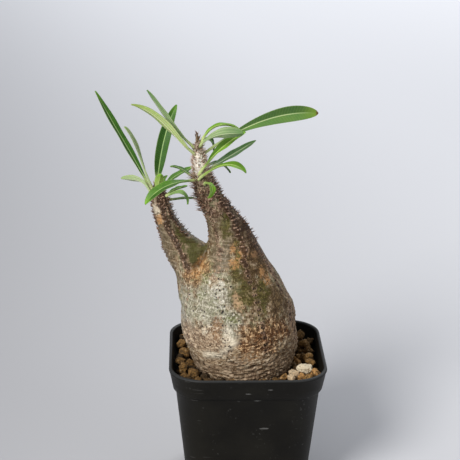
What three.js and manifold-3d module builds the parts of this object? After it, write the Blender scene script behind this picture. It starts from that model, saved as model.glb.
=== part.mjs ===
// A potted Pachypodium gracilius: a square nursery pot, its gravelly soil, the swollen stem base
// with two stems and their spines, and the leaves that crown each stem.
//
// Millimetres, +Z up. The origin is the centre of the pot's flat underside, and the plant's front
// faces -Y. The pot is 90 mm across its rim, and the plant is measured against it.

import * as THREE from "three";
import { mergeVertices } from "three/addons/utils/BufferGeometryUtils.js";
import Module from "manifold-3d";

const wasm = await Module();
wasm.setup();

// Pot: half-widths of its square sections and the radii of their rounded corners
const POT_HEIGHT = 80;
const RIM_HALF = 45;
const COLLAR_HEIGHT = 13;
const COLLAR_FOOT_HALF = 42.6;
const BODY_TOP_HALF = 41.3;
const BASE_HALF = 34;
const RIM_CORNER = 19.5;
const BASE_CORNER = 13;
const LIP_ROUND = 0.5;
const BASE_ROUND = 1.2;
const POT_WALL = 1.3;
const POT_FLOOR = 1.8;
const CORNER_STEPS = 5;
const DRAIN_RADIUS = 3.2;
const DRAIN_CIRCLE = 21;
const DRAIN_HOLES = 8;
const DRAIN_SIDES = 12;
const DRAIN_DEPTH = 4 * POT_FLOOR;

// Clear space between neighbouring pieces, and how near two corners are one point
const GAP = 0.35;
const SAME_POINT = 1e-4;

// Soil, with its grains packed on a triangular grid that is then jittered
const SOIL_TOP = 68.5;
const GRAIN_SPACING = 6.8;
const GRAIN_JITTER = 1.1;
const GRAIN_RADII = [3.1, 4.8];
const GRAIN_SINK = [0.2, 1.9];
const GRAIN_STRETCH = [0.85, 1.15];
const GRAIN_FLATNESS = [0.8, 1.05];
const GRAIN_SEED = 11;

// Swollen base and main stem, level by level: height, centre in x and in y, half-width in x
// and half-depth in y
const TRUNK = [
  [31, -2, 0, 2.4, 2.4],
  [38, -2, 0, 6, 6],
  [46, -2, 0, 14.5, 14],
  [53, -1.8, 0, 20.5, 20],
  [61, -1.6, 0, 24.6, 24],
  [68, -1.6, 0, 27.1, 26.5],
  [73, -2, 0, 28.8, 28.2],
  [78, -2.4, 0, 30.4, 29.6],
  [84, -2.9, 0, 31.9, 31],
  [91, -3.7, 0, 32.9, 31.8],
  [98, -4.6, 0, 33.1, 32],
  [105, -5.6, 0, 32.7, 31.4],
  [111, -6.1, 0, 31.8, 30],
  [117, -7, -0.2, 30, 27.6],
  [123, -7.6, -0.4, 27.2, 24.6],
  [129, -8, -0.6, 23.9, 21.6],
  [135, -8.2, -0.8, 20.2, 18.8],
  [141, -8.3, -1, 17, 16.2],
  [147, -8.8, -1.2, 14, 14],
  [152, -9.8, -1.4, 12.4, 12.2],
  [157, -11.6, -1.6, 11.1, 10.7],
  [163, -14.8, -1.8, 9.4, 9],
  [169, -18.5, -2, 8.3, 7.8],
  [175, -21.8, -2.3, 7.2, 6.8],
  [181, -24.1, -2.5, 6, 5.8],
  [187, -25.9, -2.8, 4.9, 4.9],
  [193, -27.2, -3, 4, 4.1],
  [199, -27.9, -3, 3.1, 3.3],
  [204, -28.4, -3, 2.5, 2.7],
  [209, -28.9, -3, 1.8, 1.9],
  [212, -29.1, -3, 1, 1.1],
];

// Smaller stem on the left in the same terms. Its foot is buried in the swollen base
const LIMB = [
  [102, -18, 0.5, 14, 14],
  [110, -22, 1, 16.4, 16.4],
  [118, -24.6, 1.6, 15, 15.6],
  [126, -27.8, 2.2, 13.3, 14.2],
  [132, -31.3, 2.8, 12.5, 13],
  [138, -34.8, 3.3, 11.8, 11.6],
  [143, -37.2, 3.8, 11.4, 10.4],
  [148, -40.5, 4.3, 9, 9],
  [153, -43.8, 4.9, 7.1, 7.6],
  [158, -46.4, 5.5, 5.9, 6.5],
  [163, -48.2, 6, 5.4, 5.7],
  [168, -49.6, 6.4, 4.9, 5.1],
  [173, -50.6, 6.7, 3.9, 4.2],
  [177, -51, 6.9, 2.9, 3.2],
  [180, -51.2, 7, 1.7, 1.9],
];
const TRUNK_SIDES = 30;
const LIMB_SIDES = 20;

// Broad lumps of the swollen base, which lean as they climb. They fade in over the first of
// LUMP_FADE above the lower end of their span, and out over the second below its upper end
const LUMP_HEIGHT = 0.6;
const LUMP_COUNT = 5;
const LUMP_LEAN = 0.05;
const LUMP_SPAN = [74, 150];
const LUMP_FADE = [12, 40];

// Spines stand in rows that lean round each stem as they climb to its tip. A row's spines
// lengthen until SPINE_GROWN of its height, each varies by a share in SPINE_VARIETY, and those
// of the crown point up. None stands nearer than SPINE_CLEAR to a leaf
const TRUNK_ROWS = { levels: TRUNK, rows: 9, from: 136, to: 211, lean: 0.018 };
const LIMB_ROWS = { levels: LIMB, rows: 7, from: 141, to: 179, lean: -0.02 };
const SPINE_PITCH = 3.3;
const SPINE_SEED = 5;
const SPINE_SINK = 0.9;
const SPINE_FOOT = 0.62;
const SPINE_LENGTHS = [1.2, 2.9];
const SPINE_GROWN = 0.6;
const SPINE_VARIETY = [0.75, 1.1];
const SPINE_JITTER = 0.12;
const SPINE_SPLAY = 0.35;
const SPINE_RISE = [0.25, 1.4];
const CROWN_DEPTH = 12;
const SPINE_CLEAR = 0.9;
const MIDRIB_SAMPLES = 40;

// Leaves. height and heading place the foot of the stalk on its stem, heading being measured
// in degrees round from +X. reach holds the rest of the Bezier curve that the midrib follows,
// and its last point is the tip. widest is the share of the blade's length where it is widest,
// and roll turns the blade about its length, in degrees, reached at ROLL_SHARE of that length
const LEAF_STEPS = 9;
const ROLL_SHARE = 0.6;
const STALK_HALF = 0.85;
const STALK_SHARE = 0.1;
const TIP_HALF = 0.35;
const TIP_FROM = 0.5;
const TIP_FULLNESS = 0.6;
const BLADE_THICKNESS = 0.62;
const RIB_THICKNESS = 1;
const FOLD = 0.3;
const LIMB_LEAVES = [
  { height: 173, heading: 160, width: 5.4, widest: 0.55, roll: 10,
    reach: [[-64, 21.5, 189], [-76.5, 30, 206], [-87, 34, 226]] },
  { height: 175, heading: 215, width: 3.6, widest: 0.5, roll: -60,
    reach: [[-58.5, 0, 188.5], [-62, -2.5, 206], [-69, -2, 214.5]] },
  { height: 171.5, heading: 190, width: 4.2, widest: 0.6, roll: 25,
    reach: [[-57.5, 7, 181], [-65, 9.5, 182], [-72, 12, 180.5]] },
  { height: 174.5, heading: 110, width: 7.4, widest: 0.5, roll: 3,
    reach: [[-50.5, 23.5, 186.5], [-48.5, 32.5, 202], [-40.5, 36, 217.5]] },
  { height: 174, heading: 265, width: 5, widest: 0.6, roll: -7,
    reach: [[-51, -1.5, 179.5], [-50.5, -4.5, 184], [-49, -8, 189]] },
  { height: 174, heading: 35, width: 5, widest: 0.6, roll: -14,
    reach: [[-46, 16.5, 179.5], [-37.5, 22.5, 180.5], [-30, 26, 183.5]] },
  { height: 172, heading: 330, width: 4.6, widest: 0.6, roll: -62,
    reach: [[-41, 0.5, 177], [-34, -2, 178], [-34, -6, 170.5]] },
  { height: 171.5, heading: 5, width: 4, widest: 0.6, roll: -7,
    reach: [[-43.5, 8, 176], [-38.5, 9.5, 175], [-34.5, 11, 176.5]] },
  { height: 168.5, heading: 25, width: 3, widest: 0.6, roll: -7,
    reach: [[-39, 12.5, 169], [-33.5, 16.5, 167.5], [-28, 20, 166]] },
  { height: 174, heading: 72, width: 4, widest: 0.6, roll: -25,
    reach: [[-48.5, 14.5, 176], [-48.5, 18, 178.5], [-46, 21, 179.5]] },
];
const TRUNK_LEAVES = [
  { height: 203, heading: 195, width: 4.4, widest: 0.6, roll: 24,
    reach: [[-40, -9.5, 213.5], [-48, -13, 225.5], [-56, -14, 238]] },
  { height: 199.5, heading: 218, width: 5.6, widest: 0.4, roll: 45,
    reach: [[-41.5, -12, 210.5], [-49, -17, 227.5], [-64.5, -20, 231.5]] },
  { height: 185, heading: 170, width: 4, widest: 0.6, roll: 10,
    reach: [[-35, 0.5, 188], [-39, 2, 190.5], [-44, 4, 190]] },
  { height: 184.5, heading: 212, width: 7.5, widest: 0.6, roll: -19,
    reach: [[-38, -16.5, 188], [-50.5, -24.5, 188], [-57.5, -26, 177]] },
  { height: 206, heading: 345, width: 4.6, widest: 0.6, roll: -16,
    reach: [[-23.5, -2, 215.5], [-14, -0.5, 218], [-5, 2, 212]] },
  { height: 204.5, heading: 300, width: 6.8, widest: 0.7, roll: -54,
    reach: [[-23.5, -11.5, 212.5], [-13.5, -17, 215.5], [-4, -20, 215.5]] },
  { height: 199, heading: 20, width: 9, widest: 0.74, roll: 64,
    reach: [[-6.5, 14, 209], [16.5, 24.5, 217.5], [41, 30, 214]] },
  { height: 189, heading: 255, width: 6.4, widest: 0.6, roll: 59,
    reach: [[-22, -11, 200], [-12.5, -6, 207], [-2, 2, 210.5]] },
  { height: 189.5, heading: 25, width: 4, widest: 0.45, roll: 19,
    reach: [[-14, 10, 192], [-5, 19, 194.5], [5, 26, 199]] },
  { height: 185.5, heading: 242, width: 4.8, widest: 0.7, roll: 53,
    reach: [[-23.5, -17, 194.5], [-10.5, -18.5, 202.5], [-2, -16, 192]] },
  { height: 183, heading: 268, width: 4.6, widest: 0.6, roll: -21,
    reach: [[-24, -17, 189], [-17.5, -22.5, 186], [-23, -20, 178.5]] },
  { height: 204.5, heading: 45, width: 4, widest: 0.6, roll: 46,
    reach: [[-23, 4, 208.5], [-18.5, 6, 204], [-19.5, 8, 198]] },
  { height: 191, heading: 50, width: 4, widest: 0.6, roll: 25,
    reach: [[-20, 9, 191], [-14, 16, 190], [-9.5, 18, 182]] },
];

const PLASTIC = { color: 0x15171a, roughness: 0.5, metalness: 0 };
const GRAVEL = { color: 0xa9793f, roughness: 0.95, metalness: 0 };
const BARK = { color: 0x7c7358, roughness: 0.75, metalness: 0 };
const LEAF = { color: 0x4f8a2c, roughness: 0.45, metalness: 0 };

// A repeatable stream of numbers from 0 to 1
function randomStream(seed) {
  let state = seed;
  return () => {
    state = (state + 0x6d2b79f5) | 0;
    let t = Math.imul(state ^ (state >>> 15), 1 | state);
    t = (t + Math.imul(t ^ (t >>> 7), 61 | t)) ^ t;
    return ((t ^ (t >>> 14)) >>> 0) / 4294967296;
  };
}

function mix(low, high, share) {
  return low + (high - low) * share;
}

function smooth(low, high, value) {
  const share = THREE.MathUtils.clamp((value - low) / (high - low), 0, 1);
  return share * share * (3 - 2 * share);
}

// Join rings of equal count, which all run the same way round, into one closed surface with a
// fan of triangles over the first ring and the last
function loft(rings) {
  const sides = rings[0].length;
  const points = rings.flat();
  const faces = [];
  for (let level = 0; level + 1 < rings.length; level += 1) {
    for (let side = 0; side < sides; side += 1) {
      const a = level * sides + side;
      const b = level * sides + ((side + 1) % sides);
      faces.push([a, b, b + sides], [a, b + sides, a + sides]);
    }
  }
  for (const [level, flip] of [[0, true], [rings.length - 1, false]]) {
    const centre = points.length;
    const mean = new THREE.Vector3();
    rings[level].forEach((point) => mean.addScaledVector(point, 1 / sides));
    points.push(mean);
    for (let side = 0; side < sides; side += 1) {
      const a = level * sides + side;
      const b = level * sides + ((side + 1) % sides);
      faces.push(flip ? [b, a, centre] : [a, b, centre]);
    }
  }
  return solidOf(points, faces);
}

function solidOf(points, faces) {
  const vertProperties = new Float32Array(points.flatMap((point) => point.toArray()));
  const triVerts = new Uint32Array(faces.flat());
  return new wasm.Manifold(new wasm.Mesh({ numProp: 3, vertProperties, triVerts }));
}

function solidFromGeometry(geometry) {
  const bare = geometry.clone();
  bare.deleteAttribute("normal");
  bare.deleteAttribute("uv");
  const merged = mergeVertices(bare, SAME_POINT);
  return new wasm.Manifold(new wasm.Mesh({
    numProp: 3,
    vertProperties: new Float32Array(merged.attributes.position.array),
    triVerts: new Uint32Array(merged.index.array),
  }));
}

function geometryOf(solid) {
  const mesh = solid.getMesh();
  const geometry = new THREE.BufferGeometry();
  geometry.setAttribute("position", new THREE.BufferAttribute(mesh.vertProperties, 3));
  geometry.setIndex(new THREE.BufferAttribute(mesh.triVerts, 1));
  geometry.computeVertexNormals();
  return geometry;
}

function part(name, solid, finish) {
  const mesh = new THREE.Mesh(geometryOf(solid), new THREE.MeshStandardMaterial(finish));
  mesh.name = name;
  return mesh;
}

// Square with rounded corners, at one height
function roundedSquare(half, corner, height) {
  const ring = [];
  for (let quarter = 0; quarter < 4; quarter += 1) {
    const turn = (quarter * Math.PI) / 2;
    for (let step = 0; step <= CORNER_STEPS; step += 1) {
      const angle = (step / CORNER_STEPS) * (Math.PI / 2);
      const point = new THREE.Vector3(
        half - corner + corner * Math.cos(angle),
        half - corner + corner * Math.sin(angle),
        height,
      );
      ring.push(point.applyAxisAngle(new THREE.Vector3(0, 0, 1), turn));
    }
  }
  return ring;
}

// Half-width of the pot's tapered body below its collar
function bodyHalf(height) {
  return mix(BASE_HALF, BODY_TOP_HALF, height / (POT_HEIGHT - COLLAR_HEIGHT));
}

function cornerAt(height) {
  return mix(BASE_CORNER, RIM_CORNER, height / POT_HEIGHT);
}

// The hollow of the pot, from its floor to the rim, shrunk on every side by inset
function potHollow(inset) {
  const margin = POT_WALL + inset;
  const ledge = POT_HEIGHT - COLLAR_HEIGHT + POT_WALL;
  const levels = [
    [POT_FLOOR + inset, bodyHalf(POT_FLOOR)],
    [ledge + inset, bodyHalf(ledge)],
    [ledge + inset, COLLAR_FOOT_HALF],
    [POT_HEIGHT, RIM_HALF],
  ];
  return levels.map(([height, half]) => (
    roundedSquare(half - margin, cornerAt(height) - margin, height)
  ));
}

function makePot() {
  const collarFoot = POT_HEIGHT - COLLAR_HEIGHT;
  const outside = [
    [0, BASE_HALF - BASE_ROUND],
    [BASE_ROUND, bodyHalf(BASE_ROUND)],
    [collarFoot, BODY_TOP_HALF],
    [collarFoot, COLLAR_FOOT_HALF],
    [POT_HEIGHT - LIP_ROUND, RIM_HALF],
    [POT_HEIGHT, RIM_HALF - LIP_ROUND],
  ].map(([height, half]) => roundedSquare(half, cornerAt(height), height));
  const drain = new THREE.CylinderGeometry(DRAIN_RADIUS, DRAIN_RADIUS, DRAIN_DEPTH, DRAIN_SIDES);
  drain.rotateX(Math.PI / 2);
  const drains = [];
  for (let hole = 0; hole < DRAIN_HOLES; hole += 1) {
    const angle = ((hole + 0.5) / DRAIN_HOLES) * 2 * Math.PI;
    const place = drain.clone();
    place.translate(DRAIN_CIRCLE * Math.cos(angle), DRAIN_CIRCLE * Math.sin(angle), 0);
    drains.push(solidFromGeometry(place));
  }
  const shell = loft([...outside, ...potHollow(0).reverse()]);
  return shell.subtract(wasm.Manifold.union(drains));
}

// The five numbers of a stem at any height
function stemAt(levels, height) {
  const upper = levels.findIndex((level) => level[0] >= height);
  if (upper <= 0) {
    return upper === 0 ? levels[0] : levels[levels.length - 1];
  }
  const [below, above] = [levels[upper - 1], levels[upper]];
  const share = (height - below[0]) / (above[0] - below[0]);
  return below.map((value, index) => mix(value, above[index], share));
}

function lump(angle, height) {
  const [bottom, top] = LUMP_SPAN;
  const fadeIn = smooth(bottom, bottom + LUMP_FADE[0], height);
  const fadeOut = 1 - smooth(top - LUMP_FADE[1], top, height);
  return LUMP_HEIGHT * fadeIn * fadeOut * Math.sin(LUMP_COUNT * (angle + LUMP_LEAN * height));
}

// Point of a stem's skin, moved out by grow
function skinPoint(levels, angle, height, grow = 0) {
  const [, x, y, halfWidth, halfDepth] = stemAt(levels, height);
  const proud = grow + lump(angle, height);
  return new THREE.Vector3(
    x + (halfWidth + proud) * Math.cos(angle),
    y + (halfDepth + proud) * Math.sin(angle),
    height,
  );
}

function stemSolid(levels, sides, grow = 0) {
  const rings = levels.map(([height], index) => {
    const drop = index === 0 ? grow : 0;
    return Array.from({ length: sides }, (_, side) => {
      const point = skinPoint(levels, (side / sides) * 2 * Math.PI, height, grow);
      point.z -= drop;
      return point;
    });
  });
  return loft(rings);
}

// Curve of a leaf's midrib, from the skin of its stem to its tip
function midrib(leaf, levels) {
  const foot = skinPoint(levels, THREE.MathUtils.degToRad(leaf.heading), leaf.height);
  const reach = leaf.reach.map((point) => new THREE.Vector3(...point));
  return new THREE.CubicBezierCurve3(foot, ...reach);
}

// Three-sided spine with its foot sunk into the skin
function spineSolid(foot, direction, length) {
  const across = new THREE.Vector3(0, 0, 1).cross(direction).normalize();
  const along = direction.clone().cross(across);
  const points = [0, 1, 2].map((corner) => {
    const angle = (corner * 2 * Math.PI) / 3;
    return foot.clone()
      .addScaledVector(direction, -SPINE_SINK)
      .addScaledVector(across, SPINE_FOOT * Math.cos(angle))
      .addScaledVector(along, SPINE_FOOT * Math.sin(angle));
  });
  points.push(foot.clone().addScaledVector(direction, length));
  return solidOf(points, [[0, 2, 1], [0, 1, 3], [1, 2, 3], [2, 0, 3]]);
}

function spinesOf(rowPlan, random, midribs) {
  const { levels, rows, from, to, lean } = rowPlan;
  const spines = [];
  for (let row = 0; row < rows; row += 1) {
    const start = (row / rows) * 2 * Math.PI;
    for (let height = from + random() * SPINE_PITCH; height < to; height += SPINE_PITCH) {
      const angle = start + lean * (height - from) + (random() - 0.5) * SPINE_JITTER;
      const foot = skinPoint(levels, angle, height);
      const splay = (random() - 0.5) * 2 * SPINE_SPLAY;
      const rise = mix(...SPINE_RISE, smooth(to - CROWN_DEPTH, to, height));
      const direction = new THREE.Vector3(Math.cos(angle + splay), Math.sin(angle + splay), rise);
      direction.normalize();
      const grown = smooth(from, mix(from, to, SPINE_GROWN), height);
      const length = mix(...SPINE_LENGTHS, grown) * mix(...SPINE_VARIETY, random());
      const tip = foot.clone().addScaledVector(direction, length);
      const crowded = midribs.some(({ point, half }) => (
        Math.min(point.distanceTo(tip), point.distanceTo(foot)) < half + SPINE_CLEAR
      ));
      if (!crowded) {
        spines.push(spineSolid(foot, direction, length));
      }
    }
  }
  return spines;
}

function makeCaudex(blades) {
  const random = randomStream(SPINE_SEED);
  const midribs = [];
  for (const { leaf, curve } of blades) {
    for (let index = 0; index < MIDRIB_SAMPLES; index += 1) {
      const share = index / (MIDRIB_SAMPLES - 1);
      midribs.push({ point: curve.getPoint(share), half: bladeHalf(leaf, share) });
    }
  }
  return wasm.Manifold.union([
    stemSolid(TRUNK, TRUNK_SIDES),
    stemSolid(LIMB, LIMB_SIDES),
    ...spinesOf(TRUNK_ROWS, random, midribs),
    ...spinesOf(LIMB_ROWS, random, midribs),
  ]);
}

// A grain is an icosahedron, stretched unevenly along its axes and turned at random
function grainSolid(centre, radius, random) {
  const grain = new THREE.IcosahedronGeometry(radius, 0);
  grain.scale(
    mix(...GRAIN_STRETCH, random()),
    mix(...GRAIN_STRETCH, random()),
    mix(...GRAIN_FLATNESS, random()),
  );
  grain.rotateX(random() * Math.PI);
  grain.rotateZ(random() * Math.PI);
  grain.translate(...centre.toArray());
  return solidFromGeometry(grain);
}

// Soil that fills the pot, with room left in it for the swollen base. A scrap that the room cuts
// loose is dropped
function makeSoil(room) {
  const random = randomStream(GRAIN_SEED);
  const hollow = loft(potHollow(GAP));
  const bed = loft([
    roundedSquare(RIM_HALF, RIM_CORNER, 0),
    roundedSquare(RIM_HALF, RIM_CORNER, SOIL_TOP),
  ]);
  const grains = [];
  const [, trunkX, trunkY, trunkHalf] = stemAt(TRUNK, SOIL_TOP);
  const rowPitch = GRAIN_SPACING * Math.sin(Math.PI / 3);
  const reach = Math.ceil(RIM_HALF / rowPitch);
  for (let row = -reach; row <= reach; row += 1) {
    for (let column = -reach; column <= reach; column += 1) {
      const x = (column + (row % 2) / 2) * GRAIN_SPACING + (random() - 0.5) * 2 * GRAIN_JITTER;
      const y = row * rowPitch + (random() - 0.5) * 2 * GRAIN_JITTER;
      const radius = mix(...GRAIN_RADII, random());
      const height = SOIL_TOP - mix(...GRAIN_SINK, random());
      const grain = grainSolid(new THREE.Vector3(x, y, height), radius, random);
      const fromTrunk = Math.hypot(x - trunkX, y - trunkY) - trunkHalf;
      if (fromTrunk > 0 && Math.max(Math.abs(x), Math.abs(y)) < BODY_TOP_HALF) {
        grains.push(grain);
      }
    }
  }
  const filled = wasm.Manifold.union([bed, ...grains]).intersect(hollow);
  const planted = filled.subtract(room);
  return planted.decompose().sort((a, b) => b.volume() - a.volume())[0];
}

// Half-width of a blade at a share of its length, from stalk to tip
function bladeHalf(leaf, share) {
  const past = Math.max(0, (share - STALK_SHARE) / (1 - STALK_SHARE));
  const taper = (TIP_FULLNESS * leaf.widest) / (1 - leaf.widest);
  const swell = (past / leaf.widest) ** taper * ((1 - past) / (1 - leaf.widest)) ** TIP_FULLNESS;
  const least = mix(STALK_HALF, TIP_HALF, smooth(TIP_FROM, 1, share));
  return Math.max(least, (leaf.width / 2) * swell);
}

// A folded blade: both halves rise from the midrib, which is thicker underneath. Its foot is cut
// to the shape of the stem that it leaves
function makeBlade({ leaf, curve }, stem) {
  const rings = [];
  let face = null;
  for (let step = 0; step <= LEAF_STEPS; step += 1) {
    const share = step / LEAF_STEPS;
    const centre = curve.getPoint(share);
    const along = curve.getTangent(share);
    const previous = face ?? new THREE.Vector3(0, 0, 1);
    face = previous.clone().addScaledVector(along, -previous.dot(along)).normalize();
    const roll = THREE.MathUtils.degToRad(leaf.roll) * smooth(0, ROLL_SHARE, share);
    const up = face.clone().applyAxisAngle(along, roll);
    const side = along.clone().cross(up);
    const half = bladeHalf(leaf, share);
    const rise = FOLD * half;
    const rib = mix(RIB_THICKNESS, BLADE_THICKNESS, share);
    const corner = (across, lift) => (
      centre.clone().addScaledVector(side, across).addScaledVector(up, lift)
    );
    rings.push([
      corner(0, 0),
      corner(half, rise),
      corner(half, rise - BLADE_THICKNESS),
      corner(0, -rib),
      corner(-half, rise - BLADE_THICKNESS),
      corner(-half, rise),
    ]);
  }
  return loft(rings).subtract(stem);
}

const limbBlades = LIMB_LEAVES.map((leaf) => ({ leaf, curve: midrib(leaf, LIMB) }));
const trunkBlades = TRUNK_LEAVES.map((leaf) => ({ leaf, curve: midrib(leaf, TRUNK) }));

const trunkRoom = stemSolid(TRUNK, TRUNK_SIDES, GAP);
const limbRoom = stemSolid(LIMB, LIMB_SIDES, GAP);

const plant = new THREE.Group();
plant.add(part("pot", makePot(), PLASTIC));
plant.add(part("soil", makeSoil(trunkRoom), GRAVEL));
plant.add(part("caudex", makeCaudex([...limbBlades, ...trunkBlades]), BARK));
limbBlades.forEach((blade, index) => {
  plant.add(part(`leaf_left_${index + 1}`, makeBlade(blade, limbRoom), LEAF));
});
trunkBlades.forEach((blade, index) => {
  plant.add(part(`leaf_right_${index + 1}`, makeBlade(blade, trunkRoom), LEAF));
});

export default plant;
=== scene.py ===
# %% [markdown]
# # A potted Pachypodium gracilius
#
# This lesson dresses a small succulent: a swollen, spiny stem base with two stems, planted in
# gravel in a square nursery pot. The solid model gives every size and place. Here each of its
# pieces gets a finer mesh and a finish that is worked out by nodes.
#
# The order is: camera, light, tools for finishes and meshes, pot, soil, swollen base, spines,
# leaves. Lengths are written in millimetres and multiplied by MM.

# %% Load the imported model
import math

import bmesh
import bpy
import numpy as np
from mathutils import Matrix, Vector, kdtree, noise


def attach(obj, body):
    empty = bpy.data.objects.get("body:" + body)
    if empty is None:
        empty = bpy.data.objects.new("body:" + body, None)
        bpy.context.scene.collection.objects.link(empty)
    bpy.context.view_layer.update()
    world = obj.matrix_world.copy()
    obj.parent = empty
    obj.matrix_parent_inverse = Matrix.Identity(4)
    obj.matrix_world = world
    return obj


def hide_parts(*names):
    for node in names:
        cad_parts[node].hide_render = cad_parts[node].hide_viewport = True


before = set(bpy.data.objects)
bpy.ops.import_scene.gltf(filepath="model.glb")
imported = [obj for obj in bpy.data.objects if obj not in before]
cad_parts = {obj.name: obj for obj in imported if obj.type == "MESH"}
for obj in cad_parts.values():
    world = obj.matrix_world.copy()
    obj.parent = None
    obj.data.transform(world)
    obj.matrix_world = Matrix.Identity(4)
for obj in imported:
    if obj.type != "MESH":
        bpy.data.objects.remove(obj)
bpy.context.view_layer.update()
MM = 0.001

# %% [markdown]
# ## Camera
#
# The photograph was taken a little from above, from about 0.8 m away with a long lens. The pot's
# rim gives the view: its far edge looks only slightly shorter than its near one. The camera is
# built from two angles, a small roll, a distance and the point that it looks at, so that each of
# these can be changed by itself. A helper puts any new object into the scene, this one first.

# %% Camera
CAMERA_AZIMUTH = math.radians(-1.86)
CAMERA_ELEVATION = math.radians(18.88)
CAMERA_ROLL = math.radians(0.53)
CAMERA_DISTANCE = 816 * MM
AIM_SIDEWAYS = -10.2 * MM
AIM_HEIGHT = 153.2 * MM
LENS_MM = 112.3
SENSOR_MM = 36


def linked(name, data):
    """A new object with this data, put into the scene."""
    thing = bpy.data.objects.new(name, data)
    bpy.context.scene.collection.objects.link(thing)
    return thing


level = math.cos(CAMERA_ELEVATION)
backward = Vector((
    math.sin(CAMERA_AZIMUTH) * level,
    -math.cos(CAMERA_AZIMUTH) * level,
    math.sin(CAMERA_ELEVATION),
))
rightward = Vector((math.cos(CAMERA_AZIMUTH), math.sin(CAMERA_AZIMUTH), 0))
upward = backward.cross(rightward)
rolled_right = rightward * math.cos(CAMERA_ROLL) + upward * math.sin(CAMERA_ROLL)
rolled_up = upward * math.cos(CAMERA_ROLL) - rightward * math.sin(CAMERA_ROLL)
aim = rightward * AIM_SIDEWAYS + Vector((0, 0, AIM_HEIGHT))
turn = Matrix((rolled_right, rolled_up, backward)).transposed().to_4x4()

camera = linked("camera", bpy.data.cameras.new("camera"))
camera.data.lens = LENS_MM
camera.data.sensor_width = SENSOR_MM
camera.matrix_world = Matrix.Translation(aim + backward * CAMERA_DISTANCE) @ turn
bpy.context.scene.camera = camera
print("camera at mm:", [round(value / MM) for value in camera.location])

# %% [markdown]
# ## Finishes
#
# A finish is a small programme that Blender runs at each point of a surface. It could be wired by
# hand in the node editor, but a formula is easier to read and to change. So one class wraps a
# node's output socket, and Python's operators on it add Math nodes. Every other node comes from
# one method, which takes the node's type, its settings and the values or links of its sockets.

# %% A signal in a shader
class Signal:
    """One output socket of a node. Arithmetic on it adds Math nodes."""

    def __init__(self, finish, socket):
        self.finish = finish
        self.socket = socket

    def maths(self, operation, first, second):
        return self.finish.node("ShaderNodeMath", {"operation": operation}, {0: first, 1: second})

    def __add__(self, other):
        return self.maths("ADD", self, other)

    def __sub__(self, other):
        return self.maths("SUBTRACT", self, other)

    def __rsub__(self, other):
        return self.maths("SUBTRACT", other, self)

    def __mul__(self, other):
        return self.maths("MULTIPLY", self, other)

    __radd__ = __add__
    __rmul__ = __mul__


# %% A finish, which the signals belong to
class Finish:
    """A material. The keywords of settings are numbers that are the same all over the surface."""

    def __init__(self, name, **settings):
        self.material = bpy.data.materials.new(name)
        self.material.use_nodes = True
        self.tree = self.material.node_tree
        self.surface = self.tree.nodes["Principled BSDF"]
        for socket, value in settings.items():
            self.surface.inputs[socket.replace("_", " ")].default_value = value

    def node(self, kind, settings, sockets, out=0):
        made = self.tree.nodes.new(kind)
        for name, value in settings.items():
            setattr(made, name, value)
        for name, value in sockets.items():
            if isinstance(value, Signal):
                self.tree.links.new(value.socket, made.inputs[name])
            else:
                made.inputs[name].default_value = value
        return Signal(self, made.outputs[out])

    def feed(self, name, signal):
        self.tree.links.new(signal.socket, self.surface.inputs[name])


# %% [markdown]
# The finishes share a few building blocks: a coordinate, cloudy noise, round cells, a soft step
# from 0 to 1, a blend of two colours, and a patch with a ragged edge round a point. Sizes are real:
# noise of size 2 has features about 2 mm across, because the place is measured in metres.

# %% Places, marks and noise
def place(finish):
    return finish.node("ShaderNodeTexCoord", {}, {}, "Object")


def coordinate(where, axis):
    return where.finish.node("ShaderNodeSeparateXYZ", {}, {"Vector": where}, axis)


def sine(signal):
    return signal.finish.node("ShaderNodeMath", {"operation": "SINE"}, {0: signal})


def mark(finish, name):
    """A number that a mesh carries at each of its points."""
    return finish.node("ShaderNodeAttribute", {"attribute_name": name}, {}, "Fac")


def stretched(where, factors):
    return where.finish.node("ShaderNodeVectorMath", {"operation": "MULTIPLY"}, {0: where, 1: factors})


def cloud(where, size, detail=3.0):
    sockets = {"Vector": where, "Scale": 1 / (size * MM), "Detail": detail}
    return where.finish.node("ShaderNodeTexNoise", {}, sockets, "Fac")


def cells(where, size):
    """The distance from the middle of the nearest of many round cells."""
    sockets = {"Vector": where, "Scale": 1 / (size * MM)}
    return where.finish.node("ShaderNodeTexVoronoi", {}, sockets, "Distance")


# %% Masks, blends and relief
def step(signal, low, high):
    """0 below low, 1 above high and a soft rise between. It falls instead where low is above high."""
    sockets = {"Value": signal, "From Min": low, "From Max": high}
    return signal.finish.node("ShaderNodeMapRange", {"interpolation_type": "SMOOTHSTEP"}, sockets)


def blend(mask, first, second):
    """The first colour where the mask is 0 and the second where it is 1."""
    sockets = {"Factor": mask}
    for index, colour in ((6, first), (7, second)):
        sockets[index] = colour if isinstance(colour, Signal) else (*colour, 1.0)
    return mask.finish.node("ShaderNodeMix", {"data_type": "RGBA"}, sockets, 2)


def patch(where, ragged, centre, radii, soft=0.5):
    """1 inside an ellipsoid of these radii, and 0 outside. ragged is a noise that moves its edge."""
    finish = where.finish
    middle = tuple(value * MM for value in centre)
    offset = finish.node("ShaderNodeVectorMath", {"operation": "SUBTRACT"}, {0: where, 1: middle})
    scaled = stretched(offset, tuple(1 / (radius * MM) for radius in radii))
    reach = finish.node("ShaderNodeVectorMath", {"operation": "LENGTH"}, {0: scaled}, "Value")
    return step(reach + (ragged - 0.5) * 1.6, 1 + soft, 1 - soft)


def relief(height, depth, strength=1.0):
    """A normal for a surface whose height runs from 0 to 1 over a depth in millimetres."""
    sockets = {"Height": height, "Distance": depth * MM, "Strength": strength}
    return height.finish.node("ShaderNodeBump", {}, sockets, "Normal")


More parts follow.
